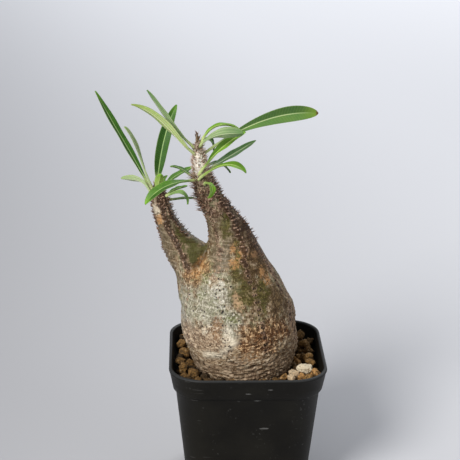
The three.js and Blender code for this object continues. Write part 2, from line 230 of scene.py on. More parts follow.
# %% [markdown]
# ## Stage and light
#
# The plant stands on a pale floor that runs past the edge of the picture, so it also serves as the
# backdrop. Its colour is painted light and shade: it is darker near the plant and at the left, so
# that the backdrop brightens towards the top right, and lighter at the right of the pot, where it
# lifts the plant's shadow. A window in front of the plant, to the left and above it, lights it
# softly: its left side is bright, and its right side falls into shade without a hard edge. An area
# light makes that kind of shadow, where a point light or a sun would cut it sharply. A weak wide
# light at the right opens the shade, and a third one brightens only the far floor.

# %% Floor
FLOOR_RADIUS = 9.0
FLOOR_SIDES = 96
FLOOR_SHADED_TONE = (0.30, 0.305, 0.325)
FLOOR_LIT_TONE = (0.84, 0.86, 0.91)
FLOOR_SLANT = 3.0


def make_floor_finish():
    finish = Finish("pale_floor", Roughness=0.9, Specular_IOR_Level=0.15)
    where = place(finish)
    # The floor's colour is painted light and shade: darker near the plant and at the left, lighter far off
    # and at the right.
    painted_light = step(coordinate(where, "Y") + coordinate(where, "X") * FLOOR_SLANT, -1.4, 1.6)
    finish.feed("Base Color", blend(painted_light, FLOOR_SHADED_TONE, FLOOR_LIT_TONE))
    return finish


def new_mesh(name, points, faces):
    mesh = bpy.data.meshes.new(name)
    mesh.from_pydata(np.asarray(points).tolist(), [], faces)
    return mesh


def full_turn(count):
    """Angles that divide a full turn evenly."""
    return np.linspace(0, 2 * math.pi, count, endpoint=False)


floor_angles = full_turn(FLOOR_SIDES)
floor_ring = FLOOR_RADIUS * np.column_stack([np.cos(floor_angles), np.sin(floor_angles), 0 * floor_angles])
floor = linked("floor", new_mesh("floor", floor_ring, [tuple(range(FLOOR_SIDES))]))
floor.data.materials.append(make_floor_finish().material)
print("floor radius m:", FLOOR_RADIUS)


# %% Lights
def area_light(name, place_m, aim_m, size_m, power, colour=(1, 1, 1)):
    light = linked(name, bpy.data.lights.new(name, "AREA"))
    light.data.shape = "DISK"
    light.data.size = size_m
    light.data.energy = power
    light.data.color = colour
    light.location = place_m
    direction = Vector(aim_m) - Vector(place_m)
    light.rotation_euler = direction.to_track_quat("-Z", "Y").to_euler()


PLANT_MIDDLE = (-0.01, 0, 0.14)
WINDOW_COLOUR = (1.0, 0.97, 0.93)
SKY_COLOUR = (0.93, 0.95, 1.0, 1)
SKY_STRENGTH = 0.28
area_light("window", (-0.72, -0.98, 0.97), PLANT_MIDDLE, size_m=0.6, power=22.5, colour=WINDOW_COLOUR)
area_light("right_fill", (1.1, -0.9, 0.6), PLANT_MIDDLE, size_m=1.0, power=2.0)
area_light("floor_light", (0.9, 2.4, 2.1), (0.5, 2.1, 0), size_m=2.2, power=49)

world = bpy.context.scene.world or bpy.data.worlds.new("sky")
bpy.context.scene.world = world
world.use_nodes = True
world.node_tree.nodes["Background"].inputs["Color"].default_value = SKY_COLOUR
world.node_tree.nodes["Background"].inputs["Strength"].default_value = SKY_STRENGTH
bpy.context.scene.view_settings.view_transform = "Standard"

# %% [markdown]
# ## Meshes
#
# Every piece here is made from rows of points, because a plant's form is easier to say with a
# formula than to push into shape. One helper turns points and faces into a piece: it shades them
# smooth, stores numbers that the finish reads, and hides the piece of the solid model that this one
# stands for. Another joins rings of points into a closed tube, and a third makes several bodies
# one mesh.

# %% Pieces
def add_piece(name, points, faces, finish, slot, stands_for=(), marks=None):
    mesh = new_mesh(name, points, faces)
    mesh.polygons.foreach_set("use_smooth", [True] * len(mesh.polygons))
    for mark_name, values in (marks or {}).items():
        store = mesh.attributes.new(mark_name, "FLOAT", "POINT")
        store.data.foreach_set("value", np.asarray(values, dtype=np.float32))
    mesh.materials.append(finish.material)
    piece = linked(name, mesh)
    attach(piece, "root")
    if stands_for:
        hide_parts(*stands_for)
    return piece


# %% Lofts
def loft(rings):
    """Points and faces of a closed body through rings of equal count. Each ring runs
    counterclockwise, seen from the side that the rings go towards."""
    count = len(rings[0])
    faces = [tuple(reversed(range(count)))]
    for level in range(len(rings) - 1):
        low = level * count
        for side in range(count):
            after = (side + 1) % count
            faces.append((low + side, low + after, low + count + after, low + count + side))
    top = (len(rings) - 1) * count
    faces.append(tuple(range(top, top + count)))
    return np.concatenate(rings), faces


def joined(bodies):
    """Points and faces of several bodies as one."""
    faces, count = [], 0
    for body_points, body_faces in bodies:
        faces += [tuple(index + count for index in face) for face in body_faces]
        count += len(body_points)
    return np.concatenate([body_points for body_points, _ in bodies]), faces


# %% Modifiers, counts and a soft ramp
def applied(piece):
    """Swaps the piece's mesh for what its modifiers make of it."""
    graph = bpy.context.evaluated_depsgraph_get()
    result = bpy.data.meshes.new_from_object(piece.evaluated_get(graph))
    piece.modifiers.clear()
    piece.data = result


def triangles(piece):
    return sum(len(face.vertices) - 2 for face in piece.data.polygons)


def ease(low, high, value):
    share = np.clip((value - low) / (high - low), 0, 1)
    return share * share * (3 - 2 * share)


# %% [markdown]
# ## Pot
#
# The pot is moulded in black plastic: thin straight walls that taper to the foot, a taller collar
# round the top and a rounded lip. It could be a cube with bevels and a solidify modifier, but then
# the taper, the collar's step and the corners, which grow rounder towards the top, would fight each
# other. A loft of rounded squares says them all in one list of heights and half-widths. The drain
# holes are cut afterwards by a Boolean modifier.

# %% Sizes of the pot
POT_HEIGHT = 80
RIM_HALF = 45
COLLAR_FOOT = 67
COLLAR_FOOT_HALF = 42.6
BODY_TOP_HALF = 41.3
BASE_HALF = 34
RIM_CORNER = 19.5
BASE_CORNER = 13
POT_WALL = 1.3
POT_FLOOR = 1.8
CORNER_STEPS = 14
DRAIN_RADIUS = 3.2
DRAIN_CIRCLE = 21
DRAIN_HOLES = 8
DRAIN_SIDES = 24
DRAIN_CUT = (-3, 6)
print("pot mm:", 2 * RIM_HALF, "wide and", POT_HEIGHT, "tall")

# %% Sections of the pot
def body_half(height):
    return BASE_HALF + (BODY_TOP_HALF - BASE_HALF) * height / COLLAR_FOOT


def rounded_square(half, height, inset=0.0):
    """One section of the pot in metres, moved in by inset millimetres."""
    corner = BASE_CORNER + (RIM_CORNER - BASE_CORNER) * height / POT_HEIGHT - inset
    reach = half - inset
    ring = []
    for quarter in range(4):
        turn = quarter * math.pi / 2
        for index in range(CORNER_STEPS + 1):
            angle = index / CORNER_STEPS * math.pi / 2
            x = reach - corner + corner * math.cos(angle)
            y = reach - corner + corner * math.sin(angle)
            cosine, sine_of_turn = math.cos(turn), math.sin(turn)
            ring.append((x * cosine - y * sine_of_turn, x * sine_of_turn + y * cosine))
    flat = np.array(ring)
    return np.column_stack([flat, np.full(len(flat), height)]) * MM


# %% Profile of the pot, from the foot up the outside, over the lip and down the inside
outside = [
    (0, BASE_HALF - 1.3), (0.12, BASE_HALF - 0.7), (0.5, BASE_HALF - 0.2), (1.3, body_half(1.3)),
    (20, body_half(20)), (45, body_half(45)), (66.2, body_half(66.2)),
    (66.7, BODY_TOP_HALF + 0.15), (66.95, BODY_TOP_HALF + 0.6), (67.15, COLLAR_FOOT_HALF - 0.25),
    (67.6, COLLAR_FOOT_HALF + 0.05), (72, 43.5), (77.6, 44.55),
    (78.1, 44.8), (78.6, 44.97), (79.1, RIM_HALF), (79.55, 44.9), (79.85, 44.65), (80, 44.25),
]
inside = [
    (79.95, 43.75), (79.6, 43.35), (78.8, 43.2), (72, 42.1), (69, 41.4),
    (66, body_half(66) - POT_WALL), (45, body_half(45) - POT_WALL), (20, body_half(20) - POT_WALL),
    (3.4, body_half(3.4) - POT_WALL), (2.4, body_half(2.4) - POT_WALL - 0.5),
    (POT_FLOOR, body_half(POT_FLOOR) - POT_WALL - 2),
]
pot_rings = [rounded_square(half, height) for height, half in outside]
pot_rings += [rounded_square(half, height) for height, half in inside]
pot_points, pot_faces = loft(pot_rings)
print("pot sections:", len(pot_rings))

# %% [markdown]
# Black plastic is never quite black: the lip catches the sky and looks blue-grey, dust dulls the
# flat faces, and handling leaves short pale scuffs. The finish gets a faint cloudy change of
# roughness, dust that gathers in specks, a few thin scratches made from noise that is stretched in
# one direction and then cut off, so that only its crests are left, and a painted blue-grey
# highlight along the top of the lip.

# %% Plastic
PLASTIC_BLACK = (0.0066, 0.0060, 0.0048)
PLASTIC_DUSTY = (0.0115, 0.0105, 0.0080)
LIP_PAINTED_SHEEN = (0.036, 0.038, 0.040)
SCUFF_GREY = (0.16, 0.16, 0.155)
LIP_SHEEN_HEIGHTS = (0.0787, 0.0796)
SCUFFS = [
    ((8.9, -39.5, 47.7), (2.5, 4, 0.5)), ((-0.5, -43, 71.2), (1.6, 3, 0.35)),
    ((11.9, -43.6, 73.9), (1.4, 3, 0.35)), ((4.8, -41, 66), (1.8, 3, 0.3)),
]


def make_plastic():
    finish = Finish("moulded_plastic", Roughness=0.42, Specular_IOR_Level=0.12)
    where = place(finish)
    haze = cloud(where, 22)
    grain = cloud(where, 0.7, 2.0)
    dust = step(cloud(where, 1.6, 1.0), 0.66, 0.74) * step(cloud(where, 14), 0.45, 0.7)
    scratch = step(cloud(stretched(where, (0.16, 0.5, 2.2)), 2.6, 1.0), 0.725, 0.76)
    wear = scratch * step(cloud(where, 20), 0.52, 0.66) * 0.2
    for centre, radii in SCUFFS:
        wear = wear + patch(where, cloud(where, 1.4), centre, radii, 0.3) * 0.6
    base = blend(step(haze, 0.3, 0.75), PLASTIC_BLACK, PLASTIC_DUSTY)
    # painted highlight: the top of the lip is lightened to blue-grey, as where it catches the sky
    base = blend(step(coordinate(where, "Z"), *LIP_SHEEN_HEIGHTS) * 0.8, base, LIP_PAINTED_SHEEN)
    dusty = blend(dust * 0.3, base, SCUFF_GREY)
    finish.feed("Base Color", blend(wear, dusty, SCUFF_GREY))
    finish.feed("Roughness", 0.42 + haze * 0.16 + dust * 0.2)
    finish.feed("Normal", relief(grain * 0.5 + haze, 0.12, 0.45))
    return finish


plastic = make_plastic()
pot = add_piece("pot_moulded", pot_points, pot_faces, plastic, "pot", ["pot"])

# %% [markdown]
# The floor of the pot has a ring of round holes, so that water runs off. They could be built into
# the loft, but its rings would have to break for them. A Boolean modifier cuts them all at once with
# plain plugs. Edges steeper than an angle are then marked sharp, which keeps the collar's step crisp.

# %% Drain holes
def cut_drains(piece):
    """Cuts a circle of round holes through the floor of the pot."""
    turns = full_turn(DRAIN_SIDES)
    circle = DRAIN_RADIUS * np.column_stack([np.cos(turns), np.sin(turns)])
    plugs = []
    for hole in range(DRAIN_HOLES):
        angle = (hole + 0.5) / DRAIN_HOLES * 2 * math.pi
        edge = circle + np.array([math.cos(angle), math.sin(angle)]) * DRAIN_CIRCLE
        ends = [np.column_stack([edge, np.full(DRAIN_SIDES, height)]) * MM for height in DRAIN_CUT]
        plugs.append(loft(ends))
    cutter = linked("drain_cutter", new_mesh("drain_cutter", *joined(plugs)))
    cut = piece.modifiers.new("drains", "BOOLEAN")
    cut.object = cutter
    cut.solver = "EXACT"
    applied(piece)
    bpy.data.objects.remove(cutter)


SHARP_EDGE = math.radians(38)
cut_drains(pot)
pot.data.set_sharp_from_angle(angle=SHARP_EDGE)
print("pot triangles:", triangles(pot))

# %% [markdown]
# ## Soil
#
# The soil is a hard fired-clay gravel, golden brown, with the odd white pumice grain. Most of its
# grains are 6 to 9 mm across, broken and then worn, so they have flat faces with soft edges. A
# noisy ball would look like a crumb of bread. Instead each grain is a ball whose surface is pulled
# in by a dozen random planes: where the planes meet softly, a worn edge is left. Where no plane
# faces a part of the ball, LEAST_FACING keeps the grain from growing there without limit.

# %% Shape of one grain
GRAIN_PLANES = 12
GRAIN_SOFTNESS = 24
LEAST_FACING = 0.60
GRAIN_ROUGHNESS = 0.3
GRAIN_LEVELS = 3
SOIL_SEED = 4


def unit_ball(levels):
    """Points and triangles of an evenly divided ball of radius 1."""
    ball = bpy.data.meshes.new("ball")
    builder = bmesh.new()
    bmesh.ops.create_icosphere(builder, subdivisions=levels, radius=1)
    builder.to_mesh(ball)
    builder.free()
    points = np.array([vertex.co[:] for vertex in ball.vertices])
    faces = [tuple(face.vertices) for face in ball.polygons]
    bpy.data.meshes.remove(ball)
    return points, faces


def worn_stone(directions, random):
    """A worn, many-sided stone of radius about 1, from the directions of a unit ball's points."""
    normals = random.normal(size=(GRAIN_PLANES, 3))
    normals /= np.linalg.norm(normals, axis=1)[:, None]
    reaches = random.uniform(0.7, 1.0, GRAIN_PLANES)
    facing = np.clip(directions @ normals.T / reaches, LEAST_FACING, None)
    radius = np.sum(facing ** GRAIN_SOFTNESS, axis=1) ** (-1 / GRAIN_SOFTNESS)
    seat = random.uniform(0, 90, 3)
    rough = np.array([noise.noise(point) for point in (directions * 2.3 + seat).tolist()])
    stone = directions * (radius * (1 + GRAIN_ROUGHNESS * rough))[:, None]
    stone *= random.uniform((0.88, 0.88, 0.72), (1.0, 1.0, 0.92))
    return stone / np.linalg.norm(stone, axis=1).max()


# %% [markdown]
# The grains lie in two full layers, with a few more heaped in the corners. The lower layer fills
# the gaps of the upper one and is only glimpsed. The grains are set out on a triangular grid, which
# is the closest packing, and then pushed about at random. A grain that would reach through the
# pot's wall is moved in to touch it, and one that would lie in the plant is left out. The few
# grains that the eye picks out in the photograph have a place, a size and a tint of their own.

# %% Layers of grains
BASE_AT_SOIL = (-1.6, 0.0, 27.2)
WALL_GAP = 0.3
REACH_TO_WALL = 0.85
GRAIN_LAYERS = [
    {"height": 70.6, "spacing": 6.2, "radii": (3.4, 4.9), "jitter": 1.2, "lift": 1.2, "from": 0},
    {"height": 66.4, "spacing": 6.0, "radii": (3.4, 4.6), "jitter": 1.0, "lift": 0.7, "from": 0},
    {"height": 73.4, "spacing": 8.4, "radii": (2.8, 4.2), "jitter": 3.0, "lift": 0.8, "from": 37},
]
NAMED_TILT = 0.03
NAMED_GRAINS = [
    ((33.4, -18.6, 75.2), 5.7, 0.97), ((26.6, -24.2, 74.8), 4.2, 0.9),
    ((24.8, -29.6, 74.6), 3.6, 0.9), ((20.4, -28.0, 74.2), 4.0, 0.62),
    ((30.6, -27.6, 74.6), 3.8, 0.7), ((38.3, -24.1, 75.0), 4.4, 0.74),
    ((34.6, -29.8, 74.6), 3.4, 0.56), ((37.6, -8.6, 74.6), 4.0, 0.4), ((36.4, -1.4, 75.0), 5.0, 0.46),
    ((37.0, 9.0, 74.4), 4.4, 0.3), ((35.4, 18.2, 75.0), 5.0, 0.36), ((33.2, 28.9, 75.0), 4.8, 0.3),
    ((-30.8, -22.4, 74.4), 4.8, 0.4), ((-36.8, -15.4, 74.4), 4.4, 0.42),
    ((-39.0, -5.9, 74.6), 4.4, 0.32), ((-37.1, 5.5, 74.6), 4.6, 0.38),
    ((-38.4, 18.9, 74.6), 4.6, 0.45), ((-36.5, -26.0, 74.4), 4.4, 0.3),
]
print("layers of grains:", len(GRAIN_LAYERS), "grains with a place:", len(NAMED_GRAINS))

# %% Places for grains
def inner_half(height):
    """Half-width of the room inside the pot."""
    wall_heights, wall_halves = np.array(inside[::-1]).T
    return float(np.interp(height, wall_heights, wall_halves)) - WALL_GAP


def overrun(x, y, half, corner):
    """How far a point lies outside a rounded square."""
    past_x = abs(x) - (half - corner)
    past_y = abs(y) - (half - corner)
    if past_x > 0 and past_y > 0:
        return math.hypot(past_x, past_y) - corner
    return max(past_x, past_y) - corner


def kept_inside(x, y, height, radius):
    """The place of a grain, pulled in to where it touches the wall of the pot."""
    room = radius * REACH_TO_WALL
    past = max(overrun(x, y, inner_half(height) - room, RIM_CORNER - room), 0)
    pull = 1 - past / math.hypot(x, y)
    return x * pull, y * pull, height


def grain_places(layer, random):
    row_pitch = layer["spacing"] * math.sin(math.pi / 3)
    reach = inner_half(layer["height"])
    rows = math.ceil(reach / row_pitch)
    for row in range(-rows, rows + 1):
        for column in range(-rows, rows + 1):
            push = random.uniform(-layer["jitter"], layer["jitter"], 2)
            x = (column + (row % 2) / 2) * layer["spacing"] + push[0]
            y = row * row_pitch + push[1]
            radius = random.uniform(*layer["radii"])
            height = layer["height"] + random.uniform(-layer["lift"], layer["lift"])
            from_plant = math.hypot(x - BASE_AT_SOIL[0], y - BASE_AT_SOIL[1]) - BASE_AT_SOIL[2]
            if math.hypot(x, y) < layer["from"]:
                continue
            if from_plant > radius * 0.35 and overrun(x, y, reach - radius, RIM_CORNER - radius) < 3.4:
                yield kept_inside(x, y, height, radius), radius


# %% [markdown]
# Fired clay is matt and full of pores. Each grain carries a tint of its own, which picks its colour
# from dark brown over gold and tan to orange and, for a few, white. Fine noise mottles it, and
# pores are cut in by the relief.

# %% Gravel finish
GRAVEL_DARK = (0.042, 0.026, 0.012)
GRAVEL_GOLD = (0.165, 0.090, 0.028)
GRAVEL_TAN = (0.285, 0.158, 0.050)
GRAVEL_ORANGE = (0.43, 0.23, 0.080)
GRAVEL_WHITE = (0.68, 0.59, 0.43)


def make_gravel():
    finish = Finish("fired_clay", Roughness=0.95, Specular_IOR_Level=0.25)
    where = place(finish)
    tint = mark(finish, "tint")
    mottle = cloud(where, 1.5, 4.0)
    pores = cells(where, 0.9)
    brown = blend(step(tint, 0.0, 0.35), GRAVEL_DARK, GRAVEL_GOLD)
    tan = blend(step(tint, 0.3, 0.6), brown, GRAVEL_TAN)
    orange = blend(step(tint, 0.60, 0.66), tan, GRAVEL_ORANGE)
    shaded = blend(step(mottle, 0.54, 0.38) * 0.8, orange, GRAVEL_DARK)
    light = blend(step(mottle, 0.60, 0.72) * 0.35, shaded, GRAVEL_WHITE)
    coloured = blend(step(tint, 0.86, 0.94) * step(mottle, 0.28, 0.42), light, GRAVEL_WHITE)
    finish.feed("Base Color", coloured)
    finish.feed("Normal", relief(mottle + step(pores, 0.0, 0.35) * 0.5, 0.9, 0.9))
    return finish


gravel = make_gravel()

# %% [markdown]
# Each grain is a stone of its own shape, and all of them are joined in one mesh. Instances of a few
# stones would be lighter, but the eye soon finds the copies. A tint is drawn for each grain.

# %% Tints of the grains
PLAIN_SHARE = 0.88
PLAIN_TINTS = (0.05, 0.62)
ORANGE_TINTS = (0.66, 0.8)
WHITE_FROM = 0.985
WHITE_TINT = 0.96
SIDE_FROM = 15
LEFT_SHADE_SHIFT = -0.23
RIGHT_SHIFT = 0.04


def grain_tint(x, random):
    """Mostly gold to tan, sometimes orange, seldom white, and darker at the left of the pot, where the darker
    tint is painted shade.
    """
    draw = random.uniform()
    tint = random.uniform(*(PLAIN_TINTS if draw < PLAIN_SHARE else ORANGE_TINTS))
    if draw > WHITE_FROM:
        return WHITE_TINT
    # painted shade: grains at the left of the pot get a darker tint
    return tint + RIGHT_SHIFT * (x > SIDE_FROM) + LEFT_SHADE_SHIFT * (x < -SIDE_FROM)


# %% Grains
FREE_ROUND_NAMED = 1.5


def make_grains():
    random = np.random.default_rng(SOIL_SEED)
    directions, ball_faces = unit_ball(GRAIN_LEVELS)
    grains, tints = [], []

    def add_grain(centre, radius, tint, tilt):
        stone = worn_stone(directions, random) * radius
        turn_x, turn_z = random.uniform(0, 2 * math.pi, 2) * (tilt, 1)
        matrix = np.array(Matrix.Rotation(turn_z, 3, "Z") @ Matrix.Rotation(turn_x, 3, "X"))
        grains.append(((stone @ matrix.T + np.array(centre)) * MM, ball_faces))
        tints.extend([tint] * len(directions))

    for centre, radius, tint in NAMED_GRAINS:
        add_grain(kept_inside(*centre, radius), radius, tint, NAMED_TILT)
    for layer in GRAIN_LAYERS:
        for centre, radius in grain_places(layer, random):
            tint = grain_tint(centre[0], random)
            near = min(math.dist(centre, named_centre) for named_centre, _, _ in NAMED_GRAINS)
            if near > radius + FREE_ROUND_NAMED:
                add_grain(centre, radius, tint, 1)
    piece = add_piece("soil_grains", *joined(grains), gravel, "soil", ["soil"], {"tint": tints})
    print("grains:", len(grains), "triangles:", triangles(piece))


make_grains()

# %% [markdown]
# Under the grains lies the rest of the soil. It is hardly seen, so one closed body with a rough
# top is enough. Its finish is the gravel's, with a low tint that makes it dark.

# %% Bed of soil
BED_TOP = 66.0
BED_GAP = 0.35
BED_TINT = 0.04
BED_LEVELS = (2.4, 30, 60, BED_TOP)
BED_BUMP = 1.2
BED_BUMP_SIZE = 5 * MM


def make_bed():
    rings = [rounded_square(body_half(height), height, POT_WALL + BED_GAP) for height in BED_LEVELS]
    edge = rings[-1]
    middle = edge.mean(axis=0)
    for share in (0.8, 0.6, 0.35, 0.1):
        ring = middle + (edge - middle) * share
        bumps = [noise.noise(Vector(point) / BED_BUMP_SIZE) for point in ring.tolist()]
        ring[:, 2] = (BED_TOP + BED_BUMP * np.array(bumps)) * MM
        rings.append(ring)
    points, faces = loft(rings)
    tints = [BED_TINT] * len(points)
    return add_piece("soil_bed", points, faces, gravel, "soil", marks={"tint": tints})


soil_bed = make_bed()
print("soil bed triangles:", triangles(soil_bed))

# %% [markdown]
# ## Swollen base and stems
#
# The plant stores water in its base, which has swollen to a ball and narrows into a stem that leans
# to the left. A second stem leaves it at the shoulder. Both stems are given level by level, as on
# the solid model, and a smooth curve runs through the levels. The two tubes are joined by a voxel
# remesh, which melts them into one skin, and the seam between them is then relaxed, because a
# living crotch is never a knife edge. A third, short tube is the web of skin that fills the bottom
# of the fork.

# %% Levels of the stems and the web: height, centre in x and y, half-width in x, half-depth in y
TRUNK = np.array([
    [31, -2, 0, 2.4, 2.4], [38, -2, 0, 6, 6], [46, -2, 0, 14.5, 14], [53, -1.8, 0, 20.5, 20],
    [61, -1.6, 0, 24.6, 24], [68, -1.6, 0, 27.1, 26.5], [73, -2, 0, 28.8, 28.2], [78, -2.4, 0, 30.4, 29.6],
    [84, -2.9, 0, 31.9, 31], [91, -3.7, 0, 32.9, 31.8], [98, -4.6, 0, 33.1, 32], [105, -5.6, 0, 32.7, 31.4],
    [111, -6.1, 0, 31.8, 30], [117, -7, -0.2, 30, 27.6], [123, -7.6, -0.4, 27.2, 24.6],
    [129, -8, -0.6, 23.9, 21.6], [135, -8.2, -0.8, 20.2, 18.8], [141, -8.3, -1, 17, 16.2],
    [147, -8.8, -1.2, 14, 14], [152, -9.8, -1.4, 12.4, 12.2], [157, -11.6, -1.6, 11.1, 10.7],
    [163, -14.8, -1.8, 9.4, 9], [169, -18.5, -2, 8.3, 7.8], [175, -21.8, -2.3, 7.2, 6.8],
    [181, -24.1, -2.5, 6, 5.8], [187, -25.9, -2.8, 4.9, 4.9], [193, -27.2, -3, 4, 4.1],
    [199, -27.9, -3, 3.1, 3.3], [204, -28.4, -3, 2.5, 2.7], [209, -28.9, -3, 1.8, 1.9],
    [212, -29.1, -3, 1, 1.1],
], dtype=float)
LIMB = np.array([
    [102, -18, 0.5, 14, 14], [110, -22, 1, 16.4, 16.4], [118, -24.6, 1.6, 15, 15.6],
    [126, -27.8, 2.2, 13.3, 14.2], [132, -31.3, 2.8, 12.5, 13], [138, -34.8, 3.3, 11.8, 11.6],
    [143, -37.2, 3.8, 11.4, 10.4], [148, -40.5, 4.3, 9, 9], [153, -43.8, 4.9, 7.1, 7.6],
    [158, -46.4, 5.5, 5.9, 6.5], [163, -48.2, 6, 5.4, 5.7], [168, -49.6, 6.4, 4.9, 5.1],
    [173, -50.6, 6.7, 3.9, 4.2], [177, -51, 6.9, 2.9, 3.2], [180, -51.2, 7, 1.7, 1.9],
], dtype=float)
WEB = np.array([
    [126, -27, 1.5, 4, 8], [134, -27.5, 1.5, 6, 8.4], [140, -28, 1.5, 7, 7.4], [143.4, -28.7, 1.8, 6.3, 6.2],
    [144.8, -29.8, 2, 5.4, 5.4], [146, -31.3, 2.3, 4.6, 4.8], [147.4, -33.2, 2.6, 4.1, 4.2],
    [149, -35.2, 3, 3.3, 3.6], [150.5, -37, 3.4, 2, 2],
], dtype=float)
print("levels:", len(TRUNK), "of the trunk,", len(LIMB), "of the limb,", len(WEB), "of the web")

# %% Skin of a stem
def stem_at(levels, height):
    """Centre and half-sizes of a stem at heights, on a smooth curve through its levels."""
    knots = levels[:, 0]
    values = levels[:, 1:]
    slopes = np.gradient(values, knots, axis=0)
    clamped = np.clip(np.atleast_1d(height), knots[0], knots[-1])
    upper = np.clip(np.searchsorted(knots, clamped), 1, len(knots) - 1)
    lower = upper - 1
    gap = (knots[upper] - knots[lower])[:, None]
    share = ((clamped - knots[lower])[:, None]) / gap
    rise = share * share * (3 - 2 * share)
    return (
        values[lower] * (1 - rise) + values[upper] * rise
        + slopes[lower] * gap * share * (1 - share) ** 2
        - slopes[upper] * gap * share * share * (1 - share)
    )


LUMP_HEIGHT = 0.6
LUMPS_ROUND = 5


def lump(angle, height):
    """Broad lumps of the base, in millimetres, which lean as they climb."""
    fade = ease(74, 86, height) * (1 - ease(110, 150, height))
    return LUMP_HEIGHT * fade * np.sin(LUMPS_ROUND * (angle + 0.05 * height))


def skin(levels, angle, height, grow=0.0):
    """Points of a stem's skin in millimetres, at these angles and heights."""
    sizes = stem_at(levels, height)
    proud = grow + lump(angle, height)
    return np.column_stack([
        sizes[:, 0] + (sizes[:, 2] + proud) * np.cos(angle),
        sizes[:, 1] + (sizes[:, 3] + proud) * np.sin(angle),
        np.broadcast_to(height, np.shape(angle)),
    ])


# %% Melt the stems into one skin
VOXEL = 0.5
TUBES = [(TRUNK, 150, 96), (LIMB, 70, 72), (WEB, 20, 32)]


def stem_rings(levels, count, sides):
    ring_heights = np.linspace(levels[0, 0], levels[-1, 0], count)
    return [skin(levels, full_turn(sides), np.full(sides, height)) * MM for height in ring_heights]


def melt_stems():
    tubes = [loft(stem_rings(*tube)) for tube in TUBES]
    stems = linked("stems", new_mesh("stems", *joined(tubes)))
    melt = stems.modifiers.new("melt", "REMESH")
    melt.mode = "VOXEL"
    melt.voxel_size = VOXEL * MM
    applied(stems)
    points = np.empty(len(stems.data.vertices) * 3)
    stems.data.vertices.foreach_get("co", points)
    made_faces = [tuple(face.vertices) for face in stems.data.polygons]
    edges = np.empty(len(stems.data.edges) * 2, dtype=np.int64)
    stems.data.edges.foreach_get("vertices", edges)
    bpy.data.objects.remove(stems)
    return points.reshape(-1, 3) / MM, made_faces, edges.reshape(-1, 2)


skin_points, skin_faces, skin_edges = melt_stems()
print("skin points:", len(skin_points))


# %% Relax the skin, most of all round the crotch
CROTCH_REACH = 5.0
SKIN_ROUNDS = 4
CROTCH_ROUNDS = 36


def around(levels, points):
    """Angle about a stem, and distance outside its skin, for points in millimetres."""
    sizes = stem_at(levels, points[:, 2])
    across = (points[:, 0] - sizes[:, 0]) / sizes[:, 2]
    along = (points[:, 1] - sizes[:, 1]) / sizes[:, 3]
    below = np.clip(levels[0, 0] - points[:, 2], 0, None)
    above = np.clip(points[:, 2] - levels[-1, 0], 0, None)
    outside_skin = (np.hypot(across, along) - 1) * (sizes[:, 2] + sizes[:, 3]) / 2
    return np.arctan2(along, across), outside_skin + (below + above)


def relax(points, edges, weights, rounds):
    """Moves each point towards the mean of its neighbours by its weight, round after round."""
    starts = edges.ravel()
    ends = edges[:, ::-1].ravel()
    count = len(points)
    degree = np.bincount(starts, minlength=count)
    for _ in range(rounds):
        sums = np.column_stack([np.bincount(starts, points[ends, axis], count) for axis in range(3)])
        points = points + (sums / degree[:, None] - points) * weights[:, None]
    return points


_, from_trunk = around(TRUNK, skin_points)
_, from_limb = around(LIMB, skin_points)
crotch = np.exp(-((np.abs(from_trunk) + np.abs(from_limb)) / CROTCH_REACH) ** 2)
skin_points = relax(skin_points, skin_edges, np.full(len(skin_points), 0.5), SKIN_ROUNDS)
skin_points = relax(skin_points, skin_edges, 0.6 * crotch, CROTCH_ROUNDS)
print("points relaxed at the crotch:", int((crotch > 0.3).sum()))

# %% [markdown]
# ## Where the spines stood
#
# Each leaf that falls leaves a cushion with two spines beside it. The cushions stand in rows that
# wind slowly round the stem. As the base swells it stretches the rows, so a cushion every 2 mm
# near the top becomes one every 4 mm on the base, and there the spines have dropped and left two
# dark pits. Random dots would lose the rows, which are what the eye recognises. So each row gets a
# few knots of height and angle, and a loop walks up it. Some rows have darkened more than others,
# so each has a darkness as well, from 0 to 1.

# %% Rows of cushions: darkness, then knots of height in millimetres and angle in degrees
TRUNK_ROWS = [
    (0.5, [(90, -155), (124, -157)]),
    (0.9, [(150, -172), (165, -178), (200, -175)]),
    (0.18, [(90, -102), (118, -107), (128, -112), (139, -118)]),
    (0.45, [(139, -118), (143, -121), (158, -132), (180, -118), (205, -110)]),
    (1.0, [
        (90, -66), (112, -67), (120, -64), (128, -68), (140, -70), (158, -62), (170, -47), (205, -40),
    ]),
    (0.9, [(90, -20), (112, -22), (137, -18), (160, -6), (205, 2)]),
    (0.7, [(90, 24), (130, 20), (165, 32), (205, 38)]),
    (0.7, [(90, 70), (130, 66), (165, 76), (205, 84)]),
    (0.7, [(90, 116), (130, 112), (165, 122), (205, 130)]),
    (0.7, [(90, 162), (130, 158), (165, 164), (205, 176)]),
]
LIMB_ROWS = [
    (0.6, [(126, -168), (150, -174), (176, -172)]),
    (1.0, [(132, -97), (145, -94), (158, -87), (176, -92)]),
    (1.0, [(149, -25), (160, -40), (176, -52)]),
    (0.7, [(126, 28), (150, 34), (176, 20)]),
    (0.7, [(126, 88), (150, 92), (176, 80)]),
    (0.7, [(126, 142), (150, 140), (176, 134)]),
]
TRUNK_PITCH = [(85, 4.4), (115, 3.6), (130, 3.0), (150, 2.15), (165, 1.8), (210, 1.7)]
LIMB_PITCH = [(126, 2.2), (150, 1.7), (180, 1.6)]
ROW_SEED = 8


